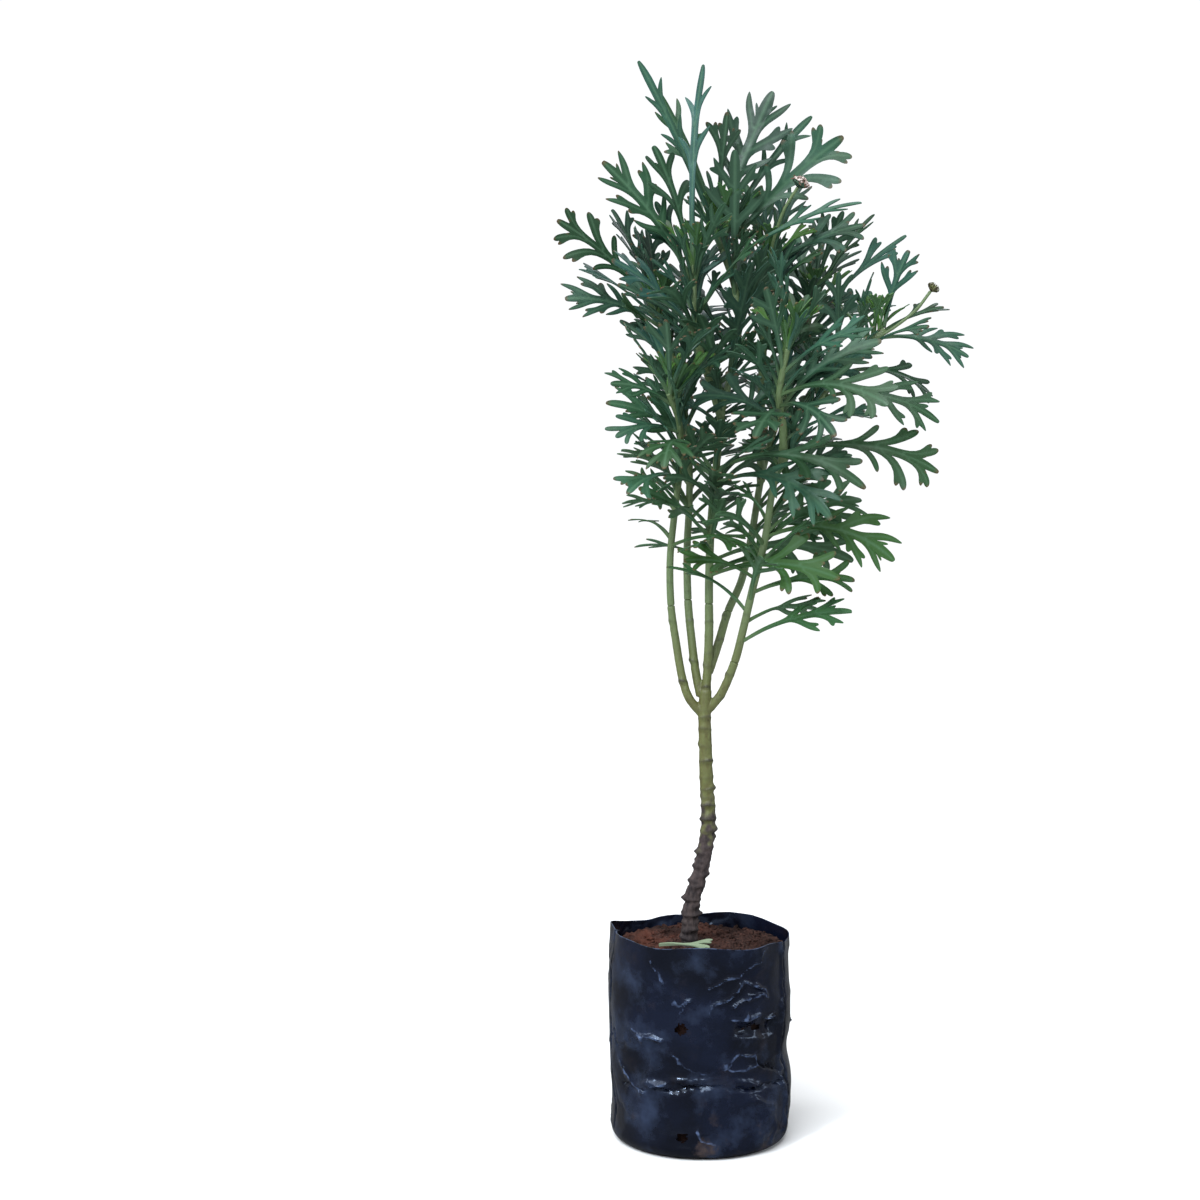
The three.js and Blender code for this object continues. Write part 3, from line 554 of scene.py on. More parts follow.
def choose_kind(share, chance):
    if share > 0.9:
        return "young" if chance < 0.5 else "three"
    if share > 0.6:
        return "slim" if chance < 0.6 else "five"
    return "broad" if chance < 0.35 else "five"


def grow_ruled_leaves(room):
    """Round the stem by the golden angle: low leaves long and level, high ones short and upright."""
    draws = Draws(RULED_SEED)
    for stem, lowest, highest, count in RULED_LEAVES:
        turn_from = draws.between(0, 360)
        for i in range(count):
            share = i / (count - 1)
            root = LINES[stem].at(lowest + (highest - lowest) * share)
            kind = choose_kind(share, draws.between(0, 1))
            for attempt in range(RULED_TRIES):
                turn = turn_from + i * GOLDEN_ANGLE + draws.between(-12, 12) * (1 + attempt)
                rise = 8 + 62 * share + draws.between(-10, 12) * (1 + attempt / 4)
                reach = (70 - 24 * share + draws.between(-8, 6)) * (1 - attempt * 0.035)
                tip = root + toward(math.radians(turn), math.radians(rise)) * reach
                bend = 60 - 42 * share + draws.between(-10, 15)
                if room.grow(Leaf(root, tip, kind, draws.between(-60, 60), bend), branch_of(stem)):
                    break


def grow_fillers(room):
    """Smaller leaves in the gaps between the others, which the solids leave out."""
    draws = Draws(FILLER_SEED)
    for stem, lowest, highest, count in RULED_LEAVES:
        for i in range(2 * count):
            share = i / (2 * count - 1)
            root = LINES[stem].at(lowest - 6 + (highest - lowest) * share)
            kind = ("five", "three", "slim", "young")[int(draws.between(0, 3.99))]
            for attempt in range(FILLER_TRIES):
                turn = i * GOLDEN_ANGLE + draws.between(-20, 20) * (1 + attempt)
                rise = 14 + 52 * share + draws.between(-14, 14)
                reach = (46 - 12 * share + draws.between(-8, 8)) * (1 - attempt * 0.05)
                tip = root + toward(math.radians(turn), math.radians(rise)) * reach
                leaf = Leaf(root, tip, kind, draws.between(-50, 50), 50 - 24 * share)
                if room.grow(leaf, branch_of(stem), FILLER_SAME_CLEARANCE, FILLER_OTHER_CLEARANCE):
                    break


def grow_tufts(room):
    """Young leaves round the tip of each shoot, upright and small, which the solids leave out."""
    draws = Draws(TUFT_SEED)
    for stem, *_ in RULED_LEAVES:
        for i in range(settings().tuft_leaves):
            share = i / (settings().tuft_leaves - 1)
            root = LINES[stem].point(1 - 0.045 * (1 - share))
            turn = i * GOLDEN_ANGLE + draws.between(0, 25)
            rise = 50 + 32 * share + draws.between(-8, 8)
            reach = 30 - 17 * share + draws.between(-3, 3)
            tip = root + toward(math.radians(turn), math.radians(rise)) * reach
            kind = "three" if share < 0.4 else "young"
            leaf = Leaf(root, tip, kind, draws.between(-20, 20), 30, age=0.25 * (1 - share))
            room.leaves[branch_of(stem)].append(leaf)


def grow_leaves():
    room = Room()
    for i, (_, main, _, side, stalk) in enumerate(LEAFY_BRANCHES):
        room.claim_stem(LINES[main], i)
        if side:
            room.claim_stem(LINES[side], i)
        if stalk:
            room.claim_stem(Line(stalk), i)
    for stalk in (WITHERED_STALK, BUD_STALK):
        room.claim_head(stalk)
    for grow in (grow_placed_leaves, grow_ruled_leaves, grow_fillers, grow_tufts):
        grow(room)
    return room.leaves


# Blender helpers


def deselect():
    if bpy.context.object and bpy.context.object.mode != "OBJECT":
        bpy.ops.object.mode_set(mode="OBJECT")
    bpy.ops.object.select_all(action="DESELECT")


def take(piece):
    deselect()
    piece.select_set(True)
    bpy.context.view_layer.objects.active = piece
    return piece


def name_piece(piece, name):
    piece.name = piece.data.name = name
    return piece


def join(pieces, name):
    """Joins objects into the first, which keeps its place at the origin."""
    take(pieces[0])
    for piece in pieces:
        piece.select_set(True)
    if len(pieces) > 1:
        bpy.ops.object.join()
    return name_piece(bpy.context.object, name)


def copy_of(shape):
    """A copy of a modelled shape with a mesh of its own."""
    piece = shape.copy()
    piece.data = shape.data.copy()
    bpy.context.scene.collection.objects.link(piece)
    return piece


def apply_modifier(piece, kind, **values):
    take(piece)
    modifier = piece.modifiers.new(kind.title(), kind)
    for key, value in values.items():
        setattr(modifier, key, value)
    bpy.ops.object.modifier_apply(modifier=modifier.name)


def read_points(piece):
    points = np.zeros(len(piece.data.vertices) * 3)
    piece.data.vertices.foreach_get("co", points)
    return points.reshape(-1, 3)


def write_points(piece, points):
    piece.data.vertices.foreach_set("co", np.asarray(points, np.float32).ravel())
    piece.data.update()


def write_attribute(piece, name, *channels):
    """Stores up to four values for each vertex as a colour, which the piece's material reads."""
    values = np.zeros((len(piece.data.vertices), 4), np.float32)
    for i, channel in enumerate(channels):
        values[:, i] = channel
    attribute = piece.data.attributes.get(name) or piece.data.attributes.new(name, "FLOAT_COLOR", "POINT")
    attribute.data.foreach_set("color", values.ravel())


def pick_edges(piece, wanted):
    """In edit mode, selects only the edges the heights of whose two ends are as wanted."""
    bpy.ops.mesh.select_mode(type="EDGE")
    bpy.ops.mesh.select_all(action="DESELECT")
    edit = bmesh.from_edit_mesh(piece.data)
    for edge in edit.edges:
        edge.select_set(wanted(*(vertex.co.z for vertex in edge.verts)))
    bmesh.update_edit_mesh(piece.data)


def extrude_ring(share, lift):
    """Extrudes the selected ring of edges to one that is narrower by that share and that much higher."""
    bpy.ops.mesh.extrude_edges_move(TRANSFORM_OT_translate={"value": (0, 0, lift)})
    bpy.ops.transform.resize(value=(share, share, 1), center_override=(0, 0, 0))


def end_modelling():
    """Turns every face of the mesh outwards and leaves edit mode."""
    bpy.ops.mesh.select_all(action="SELECT")
    bpy.ops.mesh.normals_make_consistent(inside=False)
    bpy.ops.object.mode_set(mode="OBJECT")


def smooth(piece, degrees=40):
    take(piece)
    bpy.ops.object.shade_smooth_by_angle(angle=math.radians(degrees))


def finish_piece(piece, node, material):
    """Gives a finished piece its material and its place in the frame."""
    piece.data.materials.clear()
    piece.data.materials.append(material)
    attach(piece, "root")
    if node:
        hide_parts(node)
    return piece


# Materials


class Nodes:
    """Short names for adding shader nodes and linking them."""

    def __init__(self, tree):
        self.tree = tree
        self.count = 0

    def add(self, kind, **values):
        node = self.tree.nodes.new(kind)
        node.location = (220 * (self.count % 8), -260 * (self.count // 8))
        self.count += 1
        for key, value in values.items():
            setattr(node, key, value)
        return node

    def link(self, source, target):
        self.tree.links.new(source, target)

    def places(self):
        return self.add("ShaderNodeTexCoord").outputs["Object"]

    def parts(self, attribute):
        """Red, green, blue and alpha of what a mesh stores."""
        stored = self.add("ShaderNodeAttribute", attribute_name=attribute).outputs
        split = self.add("ShaderNodeSeparateColor")
        self.link(stored["Color"], split.inputs["Color"])
        return *split.outputs, stored["Alpha"]

    def split(self, vector):
        """The three lengths of a vector."""
        node = self.add("ShaderNodeSeparateXYZ")
        self.link(vector, node.inputs["Vector"])
        return tuple(node.outputs)

    def noise(self, vector, scale, detail=4, roughness=0.5):
        node = self.add("ShaderNodeTexNoise")
        node.inputs["Scale"].default_value = scale
        node.inputs["Detail"].default_value = detail
        node.inputs["Roughness"].default_value = roughness
        self.link(vector, node.inputs["Vector"])
        return node.outputs["Fac"]

    def grey(self, factor, low, high, to_low=0.0, to_high=1.0):
        node = self.add("ShaderNodeMapRange", clamp=True)
        for name, value in zip(("From Min", "From Max", "To Min", "To Max"), (low, high, to_low, to_high)):
            node.inputs[name].default_value = value
        self.link(factor, node.inputs["Value"])
        return node.outputs["Result"]

    def mix(self, factor, first, second):
        node = self.add("ShaderNodeMix", data_type="RGBA")
        for name, value in zip(("Factor", "A", "B"), (factor, first, second)):
            self.feed(node.inputs[name], value)
        return node.outputs["Result"]

    def layers(self, colour, *coats):
        """Lays each coat, a mask and a colour, over what is there so far."""
        for mask, coat in coats:
            colour = self.mix(mask, colour, coat)
        return colour

    def feed(self, socket, value):
        if isinstance(value, bpy.types.NodeSocket):
            self.link(value, socket)
        else:
            socket.default_value = (*value, 1) if hasattr(value, "__len__") else value

    def maths(self, operation, first, second):
        node = self.add("ShaderNodeMath", operation=operation)
        self.feed(node.inputs[0], first)
        self.feed(node.inputs[1], second)
        return node.outputs["Value"]

    def times(self, first, second):
        return self.maths("MULTIPLY", first, second)

    def relief(self, scale, depth, stretch=1.0):
        """The shared relief with values of its own: its normal and its mask."""
        node = self.add("ShaderNodeGroup")
        node.node_tree = relief_group()
        for name, value in (("Scale", scale), ("Depth", depth), ("Stretch", stretch)):
            node.inputs[name].default_value = value
        return node.outputs["Normal"], node.outputs["Mask"]

    def finish(self, colour, roughness, normal, specular=0.5):
        """Feeds the material's own surface."""
        surface = self.tree.nodes["Principled BSDF"]
        self.feed(surface.inputs["Base Color"], colour)
        self.feed(surface.inputs["Roughness"], roughness)
        self.link(normal, surface.inputs["Normal"])
        surface.inputs["Specular IOR Level"].default_value = specular
        return surface


def new_material(name):
    material = bpy.data.materials.new(name)
    material.use_nodes = True
    return material, Nodes(material.node_tree)


def relief_group():
    """Fine relief for any surface: noise of a given size as a bumped normal, and the same noise as a mask."""
    tree = bpy.data.node_groups.get("Fine relief")
    if tree:
        return tree
    tree = bpy.data.node_groups.new("Fine relief", "ShaderNodeTree")
    for name, way, kind in (
        ("Scale", "INPUT", "Float"), ("Stretch", "INPUT", "Float"), ("Depth", "INPUT", "Float"),
        ("Normal", "OUTPUT", "Vector"), ("Mask", "OUTPUT", "Float"),
    ):
        tree.interface.new_socket(name, in_out=way, socket_type="NodeSocket" + kind)
    nodes = Nodes(tree)
    given, result = nodes.add("NodeGroupInput"), nodes.add("NodeGroupOutput")
    stretch = nodes.add("ShaderNodeCombineXYZ")
    stretch.inputs["X"].default_value = stretch.inputs["Y"].default_value = 1
    nodes.link(given.outputs["Stretch"], stretch.inputs["Z"])
    stretched = nodes.add("ShaderNodeVectorMath", operation="MULTIPLY")
    nodes.link(nodes.places(), stretched.inputs[0])
    nodes.link(stretch.outputs["Vector"], stretched.inputs[1])
    grain = nodes.noise(stretched.outputs["Vector"], 1, 5, 0.6)
    nodes.link(given.outputs["Scale"], grain.node.inputs["Scale"])
    bump = nodes.add("ShaderNodeBump")
    nodes.link(given.outputs["Depth"], bump.inputs["Distance"])
    nodes.link(grain, bump.inputs["Height"])
    nodes.link(bump.outputs["Normal"], result.inputs["Normal"])
    nodes.link(grain, result.inputs["Mask"])
    return tree


def leaf_material():
    """Blue-green above and paler below, yellow-green when young, with a pale midrib and dry tips."""
    material, nodes = new_material("Lobed leaf")
    look = settings()
    chance, age, above, vein = nodes.parts("leaf_tone")
    dry, stalk, faded, _ = nodes.parts("leaf_marks")
    normal, mask = nodes.relief(260, 0.0001)
    cloud = nodes.grey(nodes.noise(nodes.places(), 55, 3), 0.36, 0.64, 0, 0.45)
    grown = nodes.mix(nodes.grey(chance, 0.1, 0.95), look.leaf_dark, look.leaf_blue)
    blotch = nodes.grey(mask, 0.4, 0.66, 0, 0.35)
    grown = nodes.layers(grown, (cloud, look.leaf_deep), (blotch, look.leaf_dark))
    colour = nodes.mix(age, look.leaf_young, grown)
    colour = nodes.mix(above, nodes.mix(0.6, colour, look.leaf_below), colour)
    colour = nodes.layers(
        colour,
        (nodes.times(vein, 0.4), look.leaf_vein),
        (nodes.times(stalk, 0.45), look.shoot_green),
        (nodes.times(dry, 0.7), look.leaf_dry),
        (faded, look.leaf_faded),
    )
    nodes.finish(colour, nodes.grey(mask, 0.35, 0.65, 0.34, 0.5), normal, 0.24)
    return material


def stem_material():
    """Brown corky bark low down, green and smoother above, darker at the leaf scars."""
    material, nodes = new_material("Stem bark")
    look = settings()
    woody, scar, green, _ = nodes.parts("bark_tone")
    normal, coarse = nodes.relief(420, 0.0006, 0.35)
    _, fine = nodes.relief(1500, 0.0003, 0.6)
    bark = nodes.mix(nodes.grey(coarse, 0.38, 0.62), look.bark_dark, look.bark_light)
    fresh = nodes.mix(nodes.grey(coarse, 0.35, 0.65), look.stem_olive, look.stem_green)
    fresh = nodes.mix(green, fresh, look.shoot_green)
    flakes = nodes.grey(fine, 0.55, 0.75, 0, 0.25)
    colour = nodes.layers(
        fresh, (woody, bark), (nodes.times(scar, 0.8), look.bark_dark), (flakes, look.bark_light)
    )
    nodes.finish(colour, nodes.grey(woody, 0, 1, 0.5, 0.85), normal)
    return material


def film_material():
    """Thin glossy blue-black film: painted sheen, painted highlights on creases and rim, painted shade in
    deep folds, a little dust and soil smears low down.
    """
    material, nodes = new_material("Black bag film")
    look = settings()
    places = nodes.places()
    _, _, height = nodes.split(places)
    to_highlight, to_shaded_fold, _, _ = nodes.parts("film_light_marks")
    normal, _ = nodes.relief(120, 0.0003, 1.5)
    # Painted sheen: noise that mixes bluish patches into the film's black in place of reflections; it also
    # varies the roughness
    sheen_haze = nodes.noise(places, 28, 4, 0.55)
    # Painted sheen: pale bluish patches in the highlight colour, standing in for hazy reflections
    bloom = nodes.grey(nodes.noise(places, 44, 6, 0.62), 0.5, 0.7, 0, 0.16)
    low = nodes.maths("ADD", nodes.grey(height, 0, 0.03, 1, 0), 0.14)
    smear = nodes.times(nodes.grey(nodes.noise(places, 75, 6, 0.65), 0.56, 0.74), low)
    # Painted highlight: thin broken pale bluish lines along sharp outward creases and along the rim
    crease = nodes.grey(to_highlight, *(edge / MARK_REACH for edge in HIGHLIGHT_LINE), 1, 0)
    broken = nodes.grey(nodes.noise(places, 300, 5, 0.65), 0.42, 0.62, 0, 0.62)
    # Painted shade: near-black lines in the deep inward folds
    shaded_fold = nodes.grey(to_shaded_fold, *(edge / MARK_REACH for edge in SHADE_LINE), 1, 0)
    colour = nodes.layers(
        nodes.mix(nodes.grey(sheen_haze, 0.42, 0.62), look.film_colour, look.film_blue),
        (bloom, look.film_worn),
        (smear, look.film_dust),
        (nodes.times(crease, broken), look.film_worn),
        (shaded_fold, FOLD_SHADE_COLOUR),
    )
    gloss = nodes.maths("MAXIMUM", nodes.grey(sheen_haze, 0.35, 0.7, 0.1, 0.27), shaded_fold)
    surface = nodes.finish(colour, gloss, normal, 0.4)
    surface.inputs["Specular Tint"].default_value = SHEEN_TINT
    return material


def soil_material():
    """Reddish brown crumbs, darker in the relief's hollows, with painted shade on the soil below its surface.
    """
    material, nodes = new_material("Potting soil")
    look = settings()
    places = nodes.places()
    across, _, height = nodes.split(places)
    normal, crumbs = nodes.relief(700, 0.0012)
    left = nodes.grey(across, -0.015, 0.02, 1, 0.15)
    patches = nodes.grey(nodes.noise(places, 90, 5, 0.6), 0.42, 0.6, 0.1, 0.75)
    colour = nodes.layers(
        nodes.mix(nodes.grey(crumbs, 0.4, 0.62), look.soil_dark, look.soil_light),
        (nodes.times(patches, left), look.soil_red),
        # Painted shade: the soil below the surface is darkened so that it looks shaded through the drain
        # holes
        (nodes.grey(height, 0.088, 0.094, 0.85, 0), look.soil_dark),
        (nodes.grey(nodes.noise(places, 38, 3), 0.46, 0.6, 0, 0.75), look.soil_dark),
    )
    nodes.finish(colour, 0.95, normal, 0.2)
    return material


def head_material():
    """Green scales below, pinkish white and brown florets above, and dark dry rays."""
    material, nodes = new_material("Withered florets")
    look = settings()
    part, _, _, _ = nodes.parts("head_part")
    normal, mask = nodes.relief(900, 0.0003)
    patches = nodes.grey(nodes.noise(nodes.places(), 620, 3, 0.6), 0.4, 0.62)
    florets = nodes.mix(patches, look.floret_brown, look.floret_pale)
    colour = nodes.layers(
        nodes.mix(nodes.grey(mask, 0.4, 0.6), look.leaf_dark, look.leaf_below),
        (nodes.grey(part, 0.3, 0.4), florets),
        (nodes.grey(part, 0.7, 0.9), look.floret_brown),
    )
    nodes.finish(colour, 0.85, normal)
    return material


def bud_material():
    """Brown and green scales."""
    material, nodes = new_material("Bud scales")
    normal, mask = nodes.relief(700, 0.0004)
    colour = nodes.mix(nodes.grey(mask, 0.4, 0.6), *BUD_COLOURS)
    nodes.finish(colour, 0.7, normal)
    return material


# Leaves

# Blades as modelled: width of the rib's strap, half widths of the pairs of lobes, and the teeth of two
# variants, each as the lobe's row it follows and its side (1 to the rear, -1 to the front)
RIB_WIDTHS = {"broad": 4.6, "five": 4.4, "slim": 3.3, "three": 4.0, "young": 3.0}
LOBE_HALF_WIDTHS = {
    "broad": (1.5, 2.0, 1.8),
    "five": (1.9, 1.75),
    "slim": (1.25, 1.2),
    "three": (1.8,),
    "young": (1.4,),
}
LOBE_TEETH = {
    "broad": ([[], [(1, 1)], [(1, 1)]], [[], [(0, 1), (1, -1)], []]),
    "five": ([[(1, 1)], []], [[(1, -1)], [(1, 1)]]),
    "slim": ([[], []], [[(1, 1)], []]),
    "three": ([[(1, -1)]], [[(1, 1)]]),
    "young": ([[]], [[]]),
}
TIP_TEETH = {"broad": (1, -1), "five": (1,), "slim": (), "three": (-1,), "young": ()}
BLUNT_ROWS = ((0.25, 0.86, 6), (0.55, 0.92, 0), (0.8, 1.0, -6), (0.94, 0.78, -9), (1, 0.3, -9))
POINTED_ROWS = ((0.25, 1.0, 5), (0.5, 0.95, 0), (0.75, 0.8, -6), (0.92, 0.42, -9), (1, 0.1, -10))
LOBE_REACH = 1.12
LOBE_BOW = 1.1
PETIOLE_STATIONS = (6, 13, 20)
TIP_STATIONS = (54, 58, 60)
BASE_SPAN = 2.5
TOOTH_TURN = 32


class Blade:
    """One flat leaf modelled in edit mode, row by row. A row lists vertex numbers from left to right."""

    def __init__(self, kind):
        self.kind = kind
        self.wide = RIB_WIDTHS[kind]
        self.low = LEAF_KINDS[kind][0][0]
        deselect()
        bpy.ops.mesh.primitive_grid_add(x_subdivisions=1, y_subdivisions=2, size=1, enter_editmode=True)
        self.piece = bpy.context.object
        self.mesh = self.piece.data
        bpy.ops.mesh.select_mode(type="EDGE")
        bpy.ops.mesh.select_all(action="SELECT")
        bpy.ops.transform.resize(value=(3, self.rib_width(3), 1), center_override=(0, 0, 0))
        bpy.ops.transform.translate(value=(1.5, 0, 0))
        for name in ("vein", "foot", "end"):
            bmesh.from_edit_mesh(self.mesh).verts.layers.float.new(name)
        edit = self.edit()
        vein, foot = edit.verts.layers.float["vein"], edit.verts.layers.float["foot"]
        for vertex in edit.verts:
            vertex[vein] = 1.0 if abs(vertex.co.y) < 0.01 else 0.0
            vertex[foot] = vertex.co.x
        row = sorted((v for v in edit.verts if v.co.x > 1), key=lambda v: -v.co.y)
        self.rows = {3.0: [v.index for v in row]}

    def edit(self):
        edit = bmesh.from_edit_mesh(self.mesh)
        edit.verts.index_update()
        edit.verts.ensure_lookup_table()
        return edit

    def rib_width(self, u):
        """Full width of the rib's strap at u, without the lobes."""
        places = (0, 3, 12, self.low - BASE_SPAN, self.low + 6, 50, *TIP_STATIONS)
        shares = (2.4, 2.2, 2.1, 2.2 + 0.45 * (self.wide - 2.2))
        return float(np.interp(u, places, (*shares, *(self.wide * x for x in (1, 1, 1.08, 0.85, 0.4)))))

    def extrude(self, row, middle, heading, width, foot=None, end=0.0):
        """Extrudes a row's edges to a new row of that middle, facing that way (degrees) and that wide."""
        edit = self.edit()
        bpy.ops.mesh.select_all(action="DESELECT")
        for first, second in zip(row, row[1:]):
            edit.edges.get((edit.verts[first], edit.verts[second])).select_set(True)
        centre = (edit.verts[row[0]].co + edit.verts[row[-1]].co) / 2
        direction = edit.verts[row[0]].co - edit.verts[row[-1]].co
        bmesh.update_edit_mesh(self.mesh)
        pivot = Vector((middle[0], middle[1], 0))
        bpy.ops.mesh.extrude_edges_move(TRANSFORM_OT_translate={"value": pivot - centre})
        left = Vector((-math.sin(math.radians(heading)), math.cos(math.radians(heading)), 0))
        angle = math.atan2(direction.x * left.y - direction.y * left.x, direction.dot(left))
        bpy.ops.transform.rotate(value=-angle, orient_axis="Z", center_override=pivot)
        scale = width / direction.length
        bpy.ops.transform.resize(value=(scale, scale, 1), center_override=pivot)
        edit = self.edit()
        new = sorted((v for v in edit.verts if v.select), key=lambda v: -(v.co - pivot).dot(left))
        for vertex in new:
            vertex[edit.verts.layers.float["foot"]] = pivot.x if foot is None else foot
            vertex[edit.verts.layers.float["end"]] = end
        return [v.index for v in new]

    def mark_vein(self, vertex, value):
        edit = self.edit()
        edit.verts[vertex][edit.verts.layers.float["vein"]] = value


def blade_stations(kind):
    """Places along the rib where a row stands: three for each lobe's foot, and closer ones at the tip."""
    feet = sorted({start + BASE_SPAN * i for start, _, _ in LEAF_KINDS[kind] for i in (-1, 0, 1, 2)})
    stalk = [u for u in PETIOLE_STATIONS if u < feet[0] - 3]
    return [float(u) for u in (*stalk, *feet, (feet[-1] + TIP_STATIONS[0]) / 2, *TIP_STATIONS)]


def model_blade(kind, variant):
    """Models a flat leaf: the rib row by row, then each lobe from the rib's side, then the teeth."""
    blade = Blade(kind)
    row = blade.rows[3.0]
    for u in blade_stations(kind):
        row = blade.extrude(row, (u, 0), 0, blade.rib_width(u), end=float(u == LEAF_LENGTH))
        blade.rows[u] = row
    for lobe, half_width, teeth in zip(LEAF_KINDS[kind], LOBE_HALF_WIDTHS[kind], LOBE_TEETH[kind][variant]):
        for sign in (1, -1):
            model_lobe(blade, lobe, half_width, teeth, sign, variant)
    stations = sorted(blade.rows)
    for which in TIP_TEETH[kind]:
        low = -5 if which > 0 else -4
        model_tooth(blade, blade.rows[stations[low]], blade.rows[stations[low + 1]], 0, which, None)
    bpy.ops.object.mode_set(mode="OBJECT")
    apply_modifier(blade.piece, "SUBSURF", levels=1, render_levels=1)
    apply_modifier(blade.piece, "SOLIDIFY", thickness=1, offset=0)
    smooth(blade.piece, 50)
    return blade.piece


def model_lobe(blade, lobe, half_width, teeth, sign, variant):
    """A strap-shaped lobe, blunt on the wide leaves and pointed on the slender ones and on one variant."""
    start, degrees, reach = lobe
    reach *= LOBE_REACH
    bow = LOBE_BOW if variant else -LOBE_BOW
    pointed = variant or blade.kind in ("slim", "young")
    foot = start + (LOBE_STAGGER if sign < 0 else 0)
    base = [blade.rows[float(foot + BASE_SPAN * i)][0 if sign > 0 else -1] for i in (-1, 0, 1)]
    if sign < 0:
        base = base[::-1]
    blade.mark_vein(base[1], 0.9)
    angle = math.radians(degrees)
    rows = [base]
    for share, wide, turn in POINTED_ROWS if pointed else BLUNT_ROWS:
        aside = bow * math.sin(math.pi * share)
        along = reach * share
        middle = (
            foot + along * math.cos(angle) - aside * math.sin(angle),
            sign * (along * math.sin(angle) + aside * math.cos(angle)),
        )
        turned = sign * (degrees + turn + 8 * bow * (0.5 - share))
        rows.append(blade.extrude(rows[-1], middle, turned, 2 * half_width * wide, foot, float(share == 1)))
    for row, which in teeth:
        model_tooth(blade, rows[row + 1], rows[row + 2], sign * degrees, which * sign, foot)


def model_tooth(blade, first, second, heading, which, foot):
    """A tooth from the edge between two rows, on their left (1) or right (-1) side."""
    side = 0 if which > 0 else -1
    pair = [first[side], second[side]] if which > 0 else [second[side], first[side]]
    edit = blade.edit()
    points = [edit.verts[i].co.copy() for i in pair]
    middle, length = (points[0] + points[1]) / 2, (points[1] - points[0]).length
    turned = math.radians(heading + which * TOOTH_TURN)
    foot = middle.x if foot is None else foot
    for reach, wide, end in ((2.0, 0.6, 0.0), (4.0, 0.2, 1.0)):
        place = (middle.x + reach * math.cos(turned), middle.y + reach * math.sin(turned))
        pair = blade.extrude(pair, place, math.degrees(turned), length * wide, foot, end)


def read_layer(piece, name):
    """What the modelled blade notes at each vertex: its vein, the foot of its lobe or the lobe's end."""
    values = np.zeros(len(piece.data.vertices), np.float32)
    piece.data.attributes[name].data.foreach_get("value", values)
    return values


def make_leaf(template, leaf, draws):
    """Copies the template of the leaf's kind and lays it along the leaf's arc."""
    piece = copy_of(template)
    flat = read_points(piece)
    along = leaf.length / LEAF_LENGTH
    wide = math.sqrt(along)
    foot = read_layer(piece, "foot")
    u = foot * along + (flat[:, 0] - foot) * wide
    sweep = draws.between(-0.05, 0.05) * leaf.length
    v = flat[:, 1] * wide * draws.between(0.84, 1.08) + sweep * (u / leaf.length) ** 2
    thick = settings().leaf_thickness + 0.9 * (1 - smoothstep(u / leaf.length, 0.15, 0.5))
    phase = draws.between(0, 6)
    ripple = 0.35 * np.sin(u / 5.5 + phase) * np.abs(v) / 6 + 0.3 * np.sin(u / 9 + v / 3 + 2 * phase)
    curl = draws.between(-1.6, 1.2) * (v / 11) ** 2 + draws.between(-0.8, 0.8) * v / 9
    groove = -0.3 * np.exp(-((v / 0.8) ** 2))
    w = flat[:, 2] * thick + (ripple + curl) * smoothstep(u / leaf.length, 0.2, 0.6) + groove
    write_points(piece, leaf.place(u, v, w) * MM)
    low = smoothstep(leaf.root[2], *GROWN)
    age = leaf.age * (0.55 + 0.45 * low) * draws.between(0.8, 1)
    above = flat[:, 2] > 0
    vein = np.clip((read_layer(piece, "vein") - 0.72) / 0.28, 0, 1)
    dry = read_layer(piece, "end") * (draws.between(0, 1) > 0.45)
    stalk = 1 - smoothstep(u / leaf.length, 0.05, 0.3)
    write_attribute(piece, "leaf_tone", draws.between(0, 1), age, above, vein)
    write_attribute(piece, "leaf_marks", dry, stalk)
    return piece


# Stems


def stem_tube(line, start, end, radius_at, sides, stations):
    """A tube along a stem: a cylinder cut into stations, whose rings are moved onto the line."""
    deselect()
    bpy.ops.mesh.primitive_cylinder_add(vertices=sides, radius=1, depth=1, enter_editmode=True)
    piece = bpy.context.object
    pick_edges(piece, lambda low, high: abs(low - high) > 0.5)
    bpy.ops.mesh.subdivide(number_cuts=stations)
    bpy.ops.object.mode_set(mode="OBJECT")
    flat = read_points(piece)
    places = np.zeros_like(flat)
    for i, (x, y, z) in enumerate(flat):
        share = z + 0.5
        at = start + (end - start) * share
        tangent = line.tangent(at)
        side = unit(np.cross((0, 1, 0), tangent))
        other = np.cross(tangent, side)
        places[i] = line.point(at) + (side * x + other * y) * radius_at(at)
    write_points(piece, places * MM)
    return piece


def branch_radius(share):
    return BRANCH_RADIUS_LOW + (BRANCH_RADIUS_HIGH - BRANCH_RADIUS_LOW) * share


def trunk_radius(share):
    return TRUNK_RADIUS_LOW + (TRUNK_RADIUS_HIGH - TRUNK_RADIUS_LOW) * share


